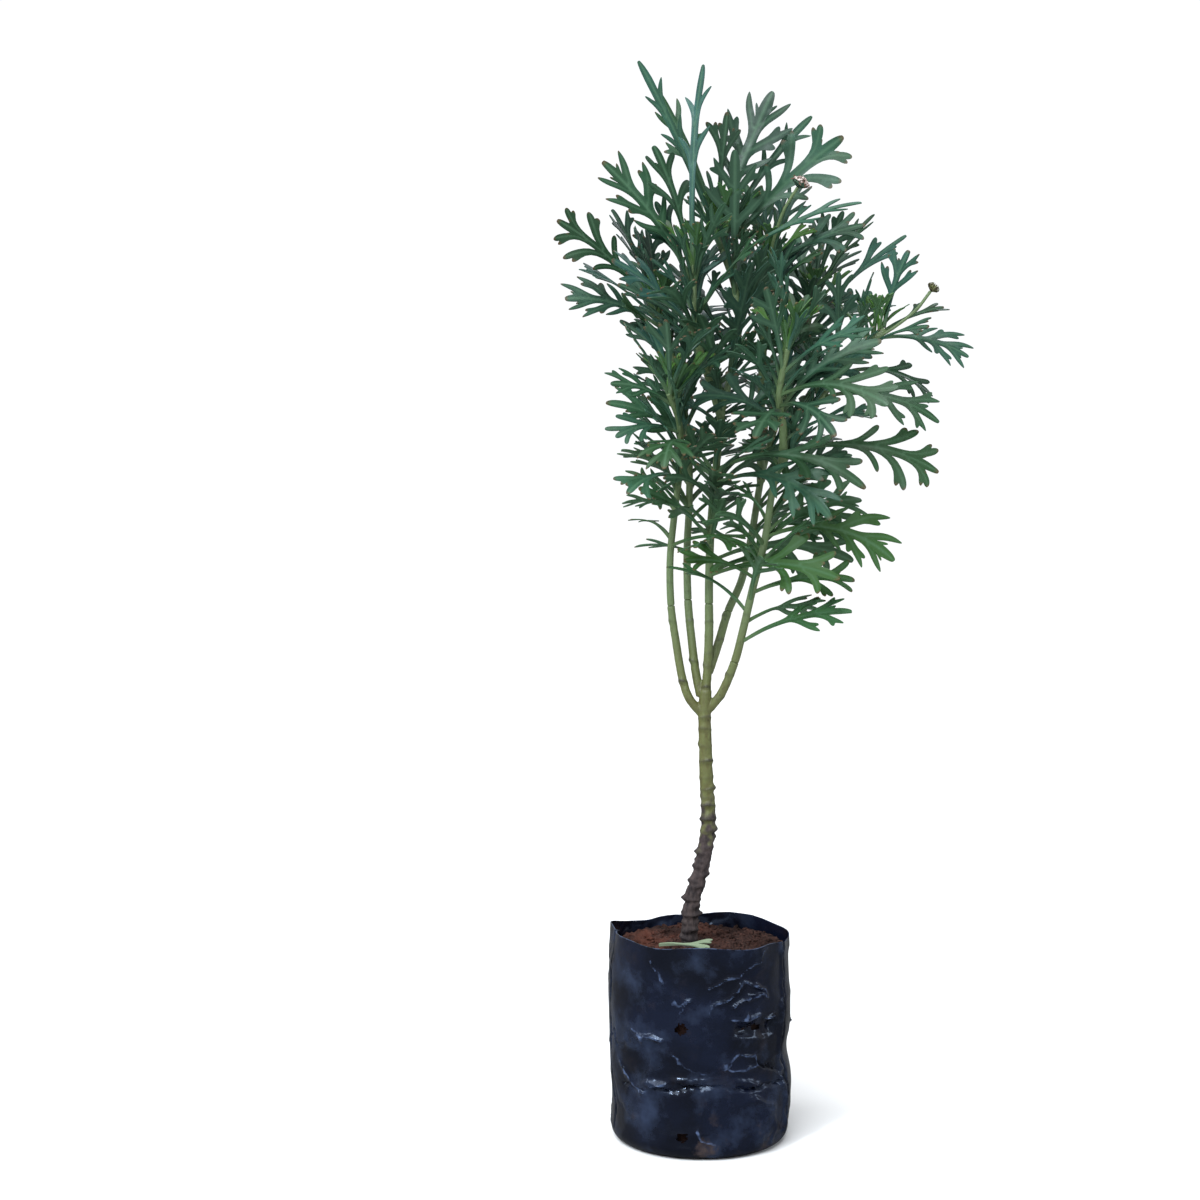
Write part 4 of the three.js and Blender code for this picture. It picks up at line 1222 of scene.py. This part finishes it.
def scar_relief(points, line, scars):
    """Raised rims of old leaf bases, with a dent below each: way out, push outwards and how scarred it is."""
    heights = np.linspace(line.point(0)[2], line.point(1)[2], 200)
    centres = np.array([line.at(height) for height in heights])
    middle = np.column_stack([np.interp(points[:, 2], heights, centres[:, i]) for i in (0, 1)])
    out = points[:, :2] - middle
    turn = np.arctan2(out[:, 1], out[:, 0])
    push = np.zeros(len(points))
    marks = np.zeros(len(points))
    for height, degrees, proud in scars:
        away = np.angle(np.exp(1j * (turn - math.radians(degrees))))
        facing = np.exp(-((away / 1.2) ** 2))
        tilted = points[:, 2] - height + 1.1 * (1 - facing)
        rim = facing**1.5 * np.exp(-((tilted / 1.5) ** 2)) + 0.25 * np.exp(-((tilted / 0.8) ** 2))
        dent = np.exp(-(((tilted + 2.4) / 1.2) ** 2))
        push += proud * (0.75 * rim - 0.3 * dent * facing)
        dark = np.exp(-(((tilted - 0.3) / 0.75) ** 2))
        marks = np.maximum(marks, min(proud, 1) * (0.3 + 0.7 * facing) * dark)
    out = np.column_stack([out / (np.linalg.norm(out, axis=1, keepdims=True) + 1e-6), np.zeros(len(points))])
    return out, push, marks


# Colours that a user would change: key, name, description, and linear red, green and blue
COLOURS = [
    ("film_colour", "Film", "The bag's black", (0.0026, 0.0030, 0.0060)),
    # Painted sheen: the bluish colour of patches that stand in for reflections on the film
    ("film_blue", "Film sheen", "Bluish haze on the film", (0.0038, 0.0056, 0.0150)),
    # Painted highlight: the colour of the pale lines on creases and rim, and of the painted sheen patches
    ("film_worn", "Worn crease", "Pale line on a sharp crease", (0.085, 0.125, 0.23)),
    ("film_dust", "Dust", "Dust and soil on the film", (0.05, 0.035, 0.03)),
    ("leaf_dark", "Deep leaf", "Deepest green of a grown leaf", (0.009, 0.032, 0.018)),
    ("leaf_deep", "Shaded leaf", "Darker clouds on a leaf", (0.006, 0.023, 0.013)),
    ("leaf_faded", "Faded leaf", "Grey-green of the fallen leaf", (0.20, 0.25, 0.17)),
    ("leaf_dry", "Dry tip", "Brown tips of lobes", (0.10, 0.045, 0.022)),
    ("leaf_blue", "Blue leaf", "Bluish bloom on a grown leaf", (0.026, 0.086, 0.076)),
    ("leaf_young", "Young leaf", "Yellow-green of a young leaf", (0.055, 0.145, 0.018)),
    ("leaf_below", "Leaf below", "Paler underside", (0.030, 0.070, 0.040)),
    ("leaf_vein", "Midrib", "Pale midrib", (0.085, 0.175, 0.10)),
    ("bark_dark", "Dark bark", "Brown of the old wood", (0.013, 0.008, 0.009)),
    ("bark_light", "Light bark", "Flaking bark", (0.056, 0.039, 0.037)),
    ("stem_olive", "Olive stem", "Stem that turns woody", (0.078, 0.074, 0.018)),
    ("stem_green", "Green stem", "Stem above the wood", (0.100, 0.115, 0.031)),
    ("shoot_green", "Shoot", "Pale green of the leafy shoots", (0.098, 0.150, 0.060)),
    # Dark soil: darker crumbs in the relief's hollows and at random, and painted shade below the soil's
    # surface
    ("soil_dark", "Damp soil", "In the hollows", (0.010, 0.004, 0.003)),
    ("soil_light", "Dry soil", "On the crumbs", (0.058, 0.028, 0.022)),
    ("soil_red", "Red soil", "Reddish patches", (0.086, 0.027, 0.016)),
    ("floret_brown", "Dry floret", "Brown of the withered head", (0.12, 0.05, 0.03)),
    ("floret_pale", "Pale floret", "Pinkish white of its florets", (0.72, 0.62, 0.58)),
    ("floor_colour", "Floor", "Pale floor and backdrop", (0.9, 0.9, 0.9)),
]


class DAISY_settings(bpy.types.PropertyGroup):
    """Sizes that a user would change. Registering adds the colours."""

    leaf_thickness: FloatProperty(
        name="Leaf thickness", description="Of the blade, in millimetres", default=0.5, min=0.2, max=1.2
    )
    tuft_leaves: IntProperty(name="Young leaves", description="At each shoot's tip", default=9, min=2)
    film_thickness: FloatProperty(
        name="Film", description="Thickness of the bag's film", default=0.0004, unit="LENGTH", min=0.0001
    )


def settings():
    return bpy.context.scene.daisy


# The bag and the soil share one crumpled form


def bulge(degrees, z):
    """How far the filled bag's wall stands out or in."""
    push = 0.5 * np.sin(np.radians(2 * degrees) + z / 23) + 0.35 * np.sin(np.radians(5 * degrees) - z / 15)
    for place, height, width, tall, out in BULGES:
        turn = ((degrees - place + 540) % 360) - 180
        push = push + out * np.exp(-((turn / width) ** 2) - ((z - height) / tall) ** 2)
    return push * smoothstep(z, 1, 10)


def wall_radius(z):
    """The plain bag's radius, rounded in at its foot."""
    corner = np.maximum(0, 1 - z / BASE_ROUND)
    return BAG_RADIUS - BASE_ROUND * (1 - np.sqrt(1 - corner * corner))


def soil_lump(x, y):
    """Slow waves of the soil's top, as in the solids."""
    waves = np.sin(x / 5.1 + 1.3 * np.sin(y / 7)) * np.cos(y / 4.3 + 0.8) + 0.6 * np.sin(x / 11 - y / 9)
    return SOIL_LUMP * waves


def ridges(points, scale):
    """Sharp creases: noise folded at zero, 1 on a crease and falling off to both sides."""
    return np.maximum(1 - np.abs(rough(points * scale, 1, 2)), 0)


def fold_distance(degrees, height, places):
    """How far each point is from a fold, on the unrolled film."""
    unrolled = np.radians(1) * BAG_RADIUS
    nearest = np.full(len(degrees), 1e9)
    for (from_turn, from_height), (to_turn, to_height) in zip(places, places[1:]):
        across = ((degrees - from_turn + 540) % 360 - 180) * unrolled
        up = height - from_height
        run, rise = (to_turn - from_turn) * unrolled, to_height - from_height
        share = np.clip((across * run + up * rise) / (run * run + rise * rise), 0, 1)
        nearest = np.minimum(nearest, np.hypot(across - share * run, up - share * rise))
    return nearest


def back_folds():
    """Folds by rule on the bag's sides and back, like those on its front."""
    draws = Draws(FOLD_SEED)
    folds = []
    for _ in range(BACK_FOLDS):
        turn, height = draws.between(-12, 188), draws.between(8, 94)
        places = [(turn, height)]
        for _ in range(2 + int(draws.between(0, 3))):
            turn += draws.between(4, 14)
            height += draws.between(-9, 9)
            places.append((turn, min(max(height, 4), 100)))
        folds.append((draws.between(0.8, 1.5), draws.between(-1.2, 1.5), places))
    return folds


def crinkle(points, degrees, height):
    """Folds of the film over the packed soil, with broad facets and small creases between them: how far
    they push, how far away the nearest crease or rim with a painted highlight line is, and the nearest fold
    with a painted shade line."""
    facets = ridges(points + 31, np.array((1 / 34, 1 / 34, 1 / 26))) ** 2
    small = ridges(points - 17, np.array((1 / 13, 1 / 13, 1 / 11))) ** 4
    push = 0.6 * facets + 0.6 * small * smoothstep(rough(points, 22, 1), 0.05, 0.4)
    stray = rough(points, 7, 3.0) + rough(points, 2.5, 0.8)
    waver = rough(points + 90, 7, 3.0) + rough(points + 90, 2.5, 0.8)
    uneven = 0.85 + rough(points + 40, 9, 1.1)
    # The rim gets a painted highlight line as well as the creases
    highlight_distance = 0.3 + RIM_HEIGHT - height
    shaded_fold = np.full(len(height), 3.0 * MARK_REACH)
    for width, out, places in FOLDS + back_folds():
        away = fold_distance(degrees + stray, height + waver, places)
        push += uneven * out * FOLD_LOW * np.exp(-((away / (width * FOLD_THIN)) ** 2))
        if width < SHARP and out > HIGHLIGHT_PUSH:
            highlight_distance = np.minimum(highlight_distance, away + 0.4 * max(0, 1 - out))
        # Deep inward folds get a painted shade line
        if width < SHARP and out < SHADE_PUSH:
            shaded_fold = np.minimum(shaded_fold, away)
    return (push - 0.3) * smoothstep(height, 0.5, 7), highlight_distance, shaded_fold


class DAISY_OT_bag(bpy.types.Operator):
    """Models the bag of thin black film, crumpled over the soil, with torn drainage holes"""

    bl_idname = "daisy.bag"
    bl_label = "Nursery bag"

    around = 336
    up = 66

    def execute(self, context):
        deselect()
        bpy.ops.mesh.primitive_cylinder_add(
            vertices=self.around, radius=1, depth=1, end_fill_type="NOTHING", enter_editmode=True
        )
        piece = bpy.context.object
        for cuts in (1, self.up):
            pick_edges(piece, lambda low, high: abs(low - high) > 0.4)
            bpy.ops.mesh.subdivide(number_cuts=cuts)
        pick_edges(piece, lambda low, high: max(low, high) < -0.499)
        for share in BASE_RINGS:
            extrude_ring(share, -0.001)
        bpy.ops.mesh.merge(type="CENTER")
        end_modelling()
        places, highlight_distance, shaded_fold = self.film(read_points(piece))
        write_points(piece, places * MM)
        write_attribute(piece, "film_light_marks", highlight_distance / MARK_REACH, shaded_fold / MARK_REACH)
        self.tear_holes(piece)
        apply_modifier(
            piece, "SOLIDIFY", thickness=settings().film_thickness, offset=-1, use_quality_normals=True
        )
        smooth(piece, 70)
        finish_piece(name_piece(piece, "film_bag"), "polybag", film_material())
        return {"FINISHED"}

    def film(self, flat):
        """Takes the unit cylinder with its closed bottom to the bag's crumpled form."""
        wall = flat[:, 2] > -0.5001
        radius, degrees, heading = polar(flat)
        height = np.clip(flat[:, 2] + 0.5, 0, 1) * RIM_HEIGHT
        plain = np.where(wall, wall_radius(height), BASE_RADIUS * np.minimum(radius / BASE_RINGS[0], 1))
        push, highlight_distance, shaded_fold = crinkle(np.column_stack([heading * plain[:, None], height]), degrees, height)
        push = np.where(wall, push + bulge(degrees, height) + self.flutes(degrees, height), 0)
        rim = np.interp(degrees, *zip(*RIM)) - RIM_HEIGHT
        lift = smoothstep(height, SOIL_TOP - 6, RIM_HEIGHT) * (rim + 0.5 * np.sin(np.radians(degrees * 7)))
        places = np.column_stack([heading * (plain + push)[:, None], height + np.where(wall, lift, 0)])
        return places, np.where(wall, highlight_distance, MARK_REACH), np.where(wall, shaded_fold, MARK_REACH)

    def flutes(self, degrees, height):
        """The free edge above the soil waves in and out."""
        free = smoothstep(height, SOIL_TOP - 8, RIM_HEIGHT)
        return free * (0.8 * np.sin(np.radians(degrees * 5 + 40)) + 0.5 * np.sin(np.radians(degrees * 11)))

    def tear_holes(self, piece):
        take(piece)
        bpy.ops.object.mode_set(mode="EDIT")
        bpy.ops.mesh.select_mode(type="FACE")
        bpy.ops.mesh.select_all(action="DESELECT")
        edit = bmesh.from_edit_mesh(piece.data)
        for degrees, height, radius in DRAIN_HOLES:
            angle = math.radians(degrees)
            centre = Vector((math.cos(angle), math.sin(angle), 0)) * BAG_RADIUS + Vector((0, 0, height))
            for face in edit.faces:
                away = face.calc_center_median() / MM - centre
                reach = radius * (1 + 0.35 * noise.noise(away * 1.7 + centre))
                if away.length < reach + 1.2 and math.hypot(away.z, away.x * math.sin(angle)) < reach:
                    face.select_set(True)
        bmesh.update_edit_mesh(piece.data)
        bpy.ops.mesh.delete(type="FACE")
        bpy.ops.object.mode_set(mode="OBJECT")


class DAISY_OT_soil(bpy.types.Operator):
    """Models the potting soil: a lumpy body that fills the bag, with loose crumbs on top"""

    bl_idname = "daisy.soil"
    bl_label = "Potting soil"

    rings = 56
    around = 168
    crumbs = 520

    def execute(self, context):
        material = soil_material()
        finish_piece(self.body(), "soil", material)
        finish_piece(self.loose_crumbs(), None, material)
        return {"FINISHED"}

    def body(self):
        deselect()
        bpy.ops.mesh.primitive_circle_add(
            vertices=self.around, radius=1, fill_type="NOTHING", enter_editmode=True
        )
        piece = bpy.context.object
        bpy.ops.mesh.select_mode(type="EDGE")
        bpy.ops.mesh.select_all(action="SELECT")
        heights = np.linspace(SOIL_FOOT, SOIL_TOP - 1, SOIL_RINGS)
        for _ in heights[1:]:
            extrude_ring(1, 1)
        for i in range(self.rings):
            shrink = (self.rings - i - 1) / (self.rings - i) if i < self.rings - 1 else 0.5
            extrude_ring(shrink, 0.001)
        bpy.ops.mesh.merge(type="CENTER")
        pick_edges(piece, lambda low, high: max(low, high) < 0.0005)
        bpy.ops.mesh.edge_face_add()
        end_modelling()
        flat = read_points(piece)
        radius, degrees, heading = polar(flat)
        height = np.interp(np.clip(flat[:, 2], 0, len(heights) - 1), range(len(heights)), heights)
        clear = 2.1 + 1.5 * (1 - smoothstep(height, 88, 97))
        reach = (wall_radius(height) - clear) * radius + bulge(degrees, height) * radius
        places = np.column_stack([heading * reach[:, None], height])
        top = flat[:, 2] > len(heights) - 0.9995
        places[top, 2] = self.surface(places[top, 0], places[top, 1])
        grain = rough(places, 2.2, 0.5) + rough(places, 1.1, 0.3)
        places[~top, :2] += heading[~top] * np.minimum(grain[~top], 0.3)[:, None]
        write_points(piece, places * MM)
        smooth(piece, 60)
        return name_piece(piece, "soil_body")

    def surface(self, x, y):
        """Height of the soil at a place on its top."""
        points = np.column_stack([x, y, np.zeros(len(x))])
        lumps = soil_lump(x, y) * (1 - smoothstep(np.hypot(x, y), 34, 43))
        clods = rough(points, 6, 1.5) + rough(points, 2.6, 0.9) + rough(points, 1.2, 0.5)
        return SOIL_TOP + lumps + np.maximum(clods, -1.2)

    def loose_crumbs(self):
        """Crumbs of four shapes, each modelled once and copied over the surface."""
        deselect()
        shapes = [self.crumb(i) for i in range(4)]
        draws = Draws(CRUMB_SEED)
        copies = []
        for i in range(self.crumbs):
            crumb = copy_of(shapes[i % 4])
            reach = CRUMB_SPREAD * math.sqrt(draws.between(0, 1))
            turn = draws.between(0, 2 * math.pi)
            size = 0.55 + 1.5 * draws.between(0, 1) ** 3
            x, y = reach * math.cos(turn), reach * math.sin(turn)
            height = self.surface(np.array([x]), np.array([y]))[0]
            spin = draws.between(0, 6.28)
            turned = spun(*(read_points(crumb) * size).T, spin)
            write_points(crumb, (turned + (x, y, height + 0.15 * size)) * MM)
            copies.append(crumb)
        for shape in shapes:
            bpy.data.objects.remove(shape)
        loose = join(copies, "soil_crumbs")
        smooth(loose, 35)
        return loose

    def crumb(self, number):
        bpy.ops.mesh.primitive_ico_sphere_add(subdivisions=2, radius=1)
        piece = bpy.context.object
        points = read_points(piece)
        write_points(piece, points * (1 + rough(points * 1.6 + number * 9, 1, 0.5))[:, None] * (1, 0.8, 0.65))
        return piece


class DAISY_OT_stem(bpy.types.Operator):
    """Models the trunk with its leaf scars and the bare branches that it forks into"""

    bl_idname = "daisy.stem"
    bl_label = "Trunk and branches"

    voxel = 0.45

    def execute(self, context):
        tubes = [stem_tube(LINES["trunk"], 0, 1, trunk_radius, 16, 60)]
        for _, main, start, _, _ in LEAFY_BRANCHES:
            tubes.append(stem_tube(LINES[main], 0, start, branch_radius, 12, 24))
        piece = join(tubes, "trunk_and_branches")
        apply_modifier(piece, "REMESH", mode="VOXEL", voxel_size=self.voxel * MM)
        apply_modifier(piece, "SMOOTH", factor=0.5, iterations=6)
        points = read_points(piece) / MM
        woody = 1 - smoothstep(points[:, 2] + rough(points, 4, 22) + rough(points, 1.5, 8), *WOOD_END)
        bark = rough(points, 1.7, 0.32) + rough(points * (1, 1, 0.4), 0.8, 0.22)
        out, push, marks = scar_relief(points, LINES["trunk"], TRUNK_SCARS)
        move = bark * (0.2 + 0.8 * woody)
        below_fork = 1 - smoothstep(points[:, 2], *FORK)
        points += out * (move + push * below_fork * (1 + 0.35 * woody))[:, None]
        marks *= below_fork
        for name, scars in BRANCH_SCARS.items():
            near = self.near(points, LINES[name])
            out, push, dark = scar_relief(points, LINES[name], scars)
            points += out * (push * near * 0.6)[:, None]
            marks = np.maximum(marks, dark * near)
        write_points(piece, points * MM)
        specks = np.clip(rough(points, 1.1, 2.2) - 0.95, 0, 1)
        marks = np.maximum(marks, specks * 0.8)
        write_attribute(piece, "bark_tone", woody, marks, smoothstep(points[:, 2], *TRUNK_PALES))
        smooth(piece, 80)
        finish_piece(piece, "main_stem", stem_material())
        return {"FINISHED"}

    def near(self, points, line):
        """1 on the branch that follows this line, falling to 0 a little way off it."""
        along = np.array([line.point(i / 120) for i in range(121)])
        apart = np.array([np.linalg.norm(along - point, axis=1).min() for point in points])
        return (1 - smoothstep(apart, 2.6, 3.4)) * smoothstep(points[:, 2], *FORK)


class DAISY_OT_leaves(bpy.types.Operator):
    """Grows the leafy shoots: their green stems, and every leaf bent along its own arc"""

    bl_idname = "daisy.leaves"
    bl_label = "Leafy branches"

    def execute(self, context):
        templates = {kind: [model_blade(kind, variant) for variant in (0, 1)] for kind in LEAF_KINDS}
        leaf_look, stem_look = leaf_material(), stem_material()
        draws = Draws(BLADE_SEED)
        for branch, leaves in zip(LEAFY_BRANCHES, grow_leaves()):
            node = branch[0]
            name = node.replace("leafy_branch_", "")
            pieces = [make_leaf(templates[leaf.kind][i % 2], leaf, draws) for i, leaf in enumerate(leaves)]
            foliage = join(pieces, "leaves_" + name)
            finish_piece(foliage, node, leaf_look)
            shoots = self.shoots(branch, "shoots_" + name)
            finish_piece(shoots, node, stem_look)
        self.fallen_leaf(templates, draws, leaf_look)
        for template in sum(templates.values(), []):
            bpy.data.objects.remove(template)
        return {"FINISHED"}

    def shoots(self, branch, name):
        _, main, start, side, stalk = branch
        tubes = [stem_tube(LINES[main], start, 1, branch_radius, 10, 60)]
        if side:
            tubes.append(stem_tube(LINES[side], 0, 1, branch_radius, 10, 36))
        if stalk:
            tubes.append(stem_tube(Line(stalk), 0, 1, lambda share: STALK_RADIUS, 8, 30))
        piece = join(tubes, name)
        apply_modifier(piece, "REMESH", mode="VOXEL", voxel_size=0.5 * MM)
        apply_modifier(piece, "SMOOTH", factor=0.5, iterations=4)
        points = read_points(piece) / MM
        marks = np.clip(rough(points * (1, 1, 3), 7, 1) - 0.35, 0, 1)
        write_attribute(piece, "bark_tone", 0, marks, smoothstep(points[:, 2], *SHOOT_PALES))
        smooth(piece, 80)
        return piece

    def fallen_leaf(self, templates, draws, material):
        root = np.array((-22, -12, SOIL_TOP + 2.4))
        tip = np.array((4, -19, SOIL_TOP + 2.6))
        piece = make_leaf(templates["three"][0], Leaf(root, tip, "three", 12, 18, age=0.3), draws)
        write_attribute(piece, "leaf_marks", 0.1, 0, 0.85)
        finish_piece(name_piece(piece, "dropped_leaf"), "fallen_leaf", material)


class DAISY_OT_heads(bpy.types.Operator):
    """Models the withered flower head and the bud at the ends of their stalks"""

    bl_idname = "daisy.heads"
    bl_label = "Withered head and bud"

    florets = 64
    rays = 11

    def execute(self, context):
        draws = Draws(HEAD_SEED)
        pieces = self.cup(*HEAD_CUP) + self.dry_florets(draws)
        pieces += [self.dry_ray(draws) for _ in range(self.rays)]
        head = self.place(pieces, WITHERED_STALK, "withered_head")
        finish_piece(head, "withered_flower_head", head_material())
        bud = self.place(self.cup(*BUD_CUP), BUD_STALK, "small_bud")
        finish_piece(bud, "flower_bud", bud_material())
        return {"FINISHED"}

    def place(self, pieces, stalk, name):
        """Joins the parts of a head, roughens them and sets them on the end of their stalk."""
        line = Line(stalk)
        foot, axis = line.point(1), line.tangent(1)
        side = unit(np.cross((0, 1, 0), axis))
        piece = join(pieces, name)
        points = read_points(piece)
        points += np.column_stack([rough(points + shift, 1.3, 0.35) for shift in (0, 20, 40)])
        write_points(piece, (foot + points @ np.array([side, np.cross(axis, side), axis])) * MM)
        smooth(piece, 50)
        return piece

    def cup(self, radius, scales, reach, rows):
        """A domed cup with rows of narrow scales round it, curling in over the middle."""
        deselect()
        bpy.ops.mesh.primitive_uv_sphere_add(segments=20, ring_count=12, radius=radius)
        dome = bpy.context.object
        points = read_points(dome)
        points[:, 2] = points[:, 2] * 0.72 + radius * 0.72
        write_points(dome, points)
        pieces = [self.mark(dome, 0)]
        for row in range(rows):
            for i in range(scales):
                turn = (i + row / 3) * 2 * math.pi / scales
                pieces.append(self.scale(radius, reach, row, turn))
        return pieces

    def mark(self, piece, part):
        """Notes which part of a head a piece is: 0 scale, 0.5 floret, 1 ray."""
        write_attribute(piece, "head_part", part)
        return piece

    def scale(self, radius, reach, row, turn):
        """One narrow scale: a tapered strip that follows the cup and curls inwards at its end."""
        bpy.ops.mesh.primitive_grid_add(x_subdivisions=6, y_subdivisions=2, size=1)
        piece = bpy.context.object
        flat = read_points(piece)
        share = flat[:, 0] + 0.5
        wide = 0.55 * radius * (1 - 0.75 * share) * flat[:, 1]
        bow = radius * (1.02 + 0.12 * row) * np.sin(0.9 + 1.7 * share) + 0.25 * (row == 2)
        height = 0.3 * radius + reach * share * (0.55 + 0.25 * row) + 0.2 * row
        write_points(piece, spun(bow, wide, height, turn))
        apply_modifier(piece, "SOLIDIFY", thickness=0.18, offset=0)
        return self.mark(piece, 0)

    def dry_florets(self, draws):
        """Shrunken florets, packed by the golden angle on a dome, each leaning its own way."""
        bpy.ops.mesh.primitive_cone_add(vertices=6, radius1=0.3, radius2=0.5, depth=2.2)
        shape = bpy.context.object
        flat = read_points(shape)
        pieces = []
        for i in range(self.florets):
            share = math.sqrt((i + 0.5) / self.florets)
            turn = math.radians(i * GOLDEN_ANGLE)
            out = np.array((math.cos(turn), math.sin(turn), 0))
            lean = np.array((draws.between(-0.4, 0.4), draws.between(-0.4, 0.4), 0))
            axis = unit(out * 0.9 * share + lean + (0, 0, 1.05 - 0.6 * share))
            side = unit(np.cross((0.1, 1, 0), axis))
            points = flat * (1, 1, draws.between(0.7, 1.5))
            base = out * 3.2 * share + (0, 0, 4.2 - 1.4 * share * share)
            floret = copy_of(shape)
            write_points(floret, base + points @ np.array([side, np.cross(axis, side), axis]))
            pieces.append(self.mark(floret, 0.5))
        bpy.data.objects.remove(shape)
        return pieces

    def dry_ray(self, draws):
        """A shrivelled ray: a thin strip that hangs out from under the florets and twists."""
        bpy.ops.mesh.primitive_grid_add(x_subdivisions=10, y_subdivisions=2, size=1)
        piece = bpy.context.object
        flat = read_points(piece)
        share = flat[:, 0] + 0.5
        turn = draws.between(0, 2 * math.pi) + draws.between(-0.6, 0.6) * share
        wide = draws.between(0.5, 1.0) * (1 - 0.7 * share) * flat[:, 1]
        spin = draws.between(-3, 3) * share
        out = 2.6 + draws.between(2.4, 4.6) * np.sin(1.4 * share)
        height = 3.0 + draws.between(-1.5, 1.5) * share - draws.between(-0.5, 2.2) * share**2
        write_points(piece, spun(out, wide * np.cos(spin), height + wide * np.sin(spin), turn))
        apply_modifier(piece, "SOLIDIFY", thickness=0.16, offset=0)
        return self.mark(piece, 1)


class DAISY_OT_stage(bpy.types.Operator):
    """Sets the pale floor, the soft studio light and the camera at the photograph's angle"""

    bl_idname = "daisy.stage"
    bl_label = "Stage"

    def execute(self, context):
        deselect()
        bpy.ops.mesh.primitive_plane_add(size=FLOOR_SIZE, location=(0, 0, 0))
        floor = bpy.context.object
        floor.name = "pale_floor"
        material, nodes = new_material("Pale floor")
        surface = material.node_tree.nodes["Principled BSDF"]
        mirrored = nodes.add("ShaderNodeLightPath").outputs["Is Glossy Ray"]
        pale = nodes.mix(mirrored, settings().floor_colour, (FLOOR_MIRRORED,) * 3)
        nodes.link(pale, surface.inputs["Base Color"])
        surface.inputs["Roughness"].default_value = 0.9
        floor.data.materials.append(material)
        self.backdrop()
        bpy.context.scene.view_settings.view_transform = "Standard"
        self.sun()
        for lamp in LAMPS:
            self.light(*lamp)
        bpy.ops.object.camera_add()
        camera = bpy.context.object
        camera.name = "Camera"
        camera.location = Vector(CAMERA_PLACE) * MM
        aim = (Vector(CAMERA_AIM) - Vector(CAMERA_PLACE)).normalized()
        camera.rotation_euler = aim.to_track_quat("-Z", "Y").to_euler()
        distance = (Vector(CAMERA_AIM) - Vector(CAMERA_PLACE)).length
        camera.data.sensor_width = SENSOR
        camera.data.lens = SENSOR * distance / VIEW_WIDTH
        camera.data.dof.use_dof = False
        bpy.context.scene.camera = camera
        return {"FINISHED"}

    def backdrop(self):
        """Even pale light from all round: a white backdrop to the camera, and dim in mirror reflections."""
        world = bpy.data.worlds.new("Soft studio")
        bpy.context.scene.world = world
        world.use_nodes = True
        nodes = Nodes(world.node_tree)
        sky = world.node_tree.nodes["Background"]
        sky.inputs["Color"].default_value = SKY_COLOUR
        path = nodes.add("ShaderNodeLightPath")
        strength = nodes.grey(path.outputs["Is Glossy Ray"], 0, 1, SKY_LIGHT, SKY_MIRRORED)
        shown = nodes.maths("MULTIPLY", path.outputs["Is Camera Ray"], SKY_SEEN)
        nodes.link(nodes.maths("MAXIMUM", strength, shown), sky.inputs["Strength"])

    def sun(self):
        bpy.ops.object.light_add(type="SUN", location=(-0.5, -0.7, 2.0))
        lamp = bpy.context.object
        lamp.name = "Key"
        lamp.data.energy = KEY_LIGHT
        lamp.data.angle = math.radians(KEY_SPREAD)
        lamp.rotation_euler = (-lamp.location).to_track_quat("-Z", "Y").to_euler()

    def light(self, name, place, power, size):
        bpy.ops.object.light_add(type="AREA", location=place)
        lamp = bpy.context.object
        lamp.name = name
        lamp.data.energy = power
        lamp.data.size = size
        lamp.data.color = LAMP_COLOUR
        aim = Vector((0, 0, 0.3)) - Vector(place)
        lamp.rotation_euler = aim.to_track_quat("-Z", "Y").to_euler()


class DAISY_PT_panel(bpy.types.Panel):
    """Lists the pieces of the plant and its settings"""

    bl_idname = "DAISY_PT_panel"
    bl_label = "Potted daisy"
    bl_space_type = "VIEW_3D"
    bl_region_type = "UI"
    bl_category = "Daisy"

    def draw(self, context):
        for operator in OPERATORS:
            self.layout.operator(operator.bl_idname)
        for name in DAISY_settings.__annotations__:
            self.layout.prop(bpy.context.scene.daisy, name)


OPERATORS = (DAISY_OT_stage, DAISY_OT_bag, DAISY_OT_soil, DAISY_OT_stem, DAISY_OT_leaves, DAISY_OT_heads)
CLASSES = (DAISY_settings, *OPERATORS, DAISY_PT_panel)


def register():
    for key, name, note, colour in COLOURS:
        tone = FloatVectorProperty(name=name, description=note, default=colour, subtype="COLOR")
        DAISY_settings.__annotations__[key] = tone
    for one in CLASSES:
        bpy.utils.register_class(one)
    bpy.types.Scene.daisy = PointerProperty(type=DAISY_settings)


def unregister():
    del bpy.types.Scene.daisy
    for one in reversed(CLASSES):
        bpy.utils.unregister_class(one)


def main():
    register()
    bpy.ops.daisy.stage()
    bpy.ops.daisy.bag()
    bpy.ops.daisy.soil()
    bpy.ops.daisy.stem()
    bpy.ops.daisy.leaves()
    bpy.ops.daisy.heads()
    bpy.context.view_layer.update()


if __name__ == "__main__":
    main()
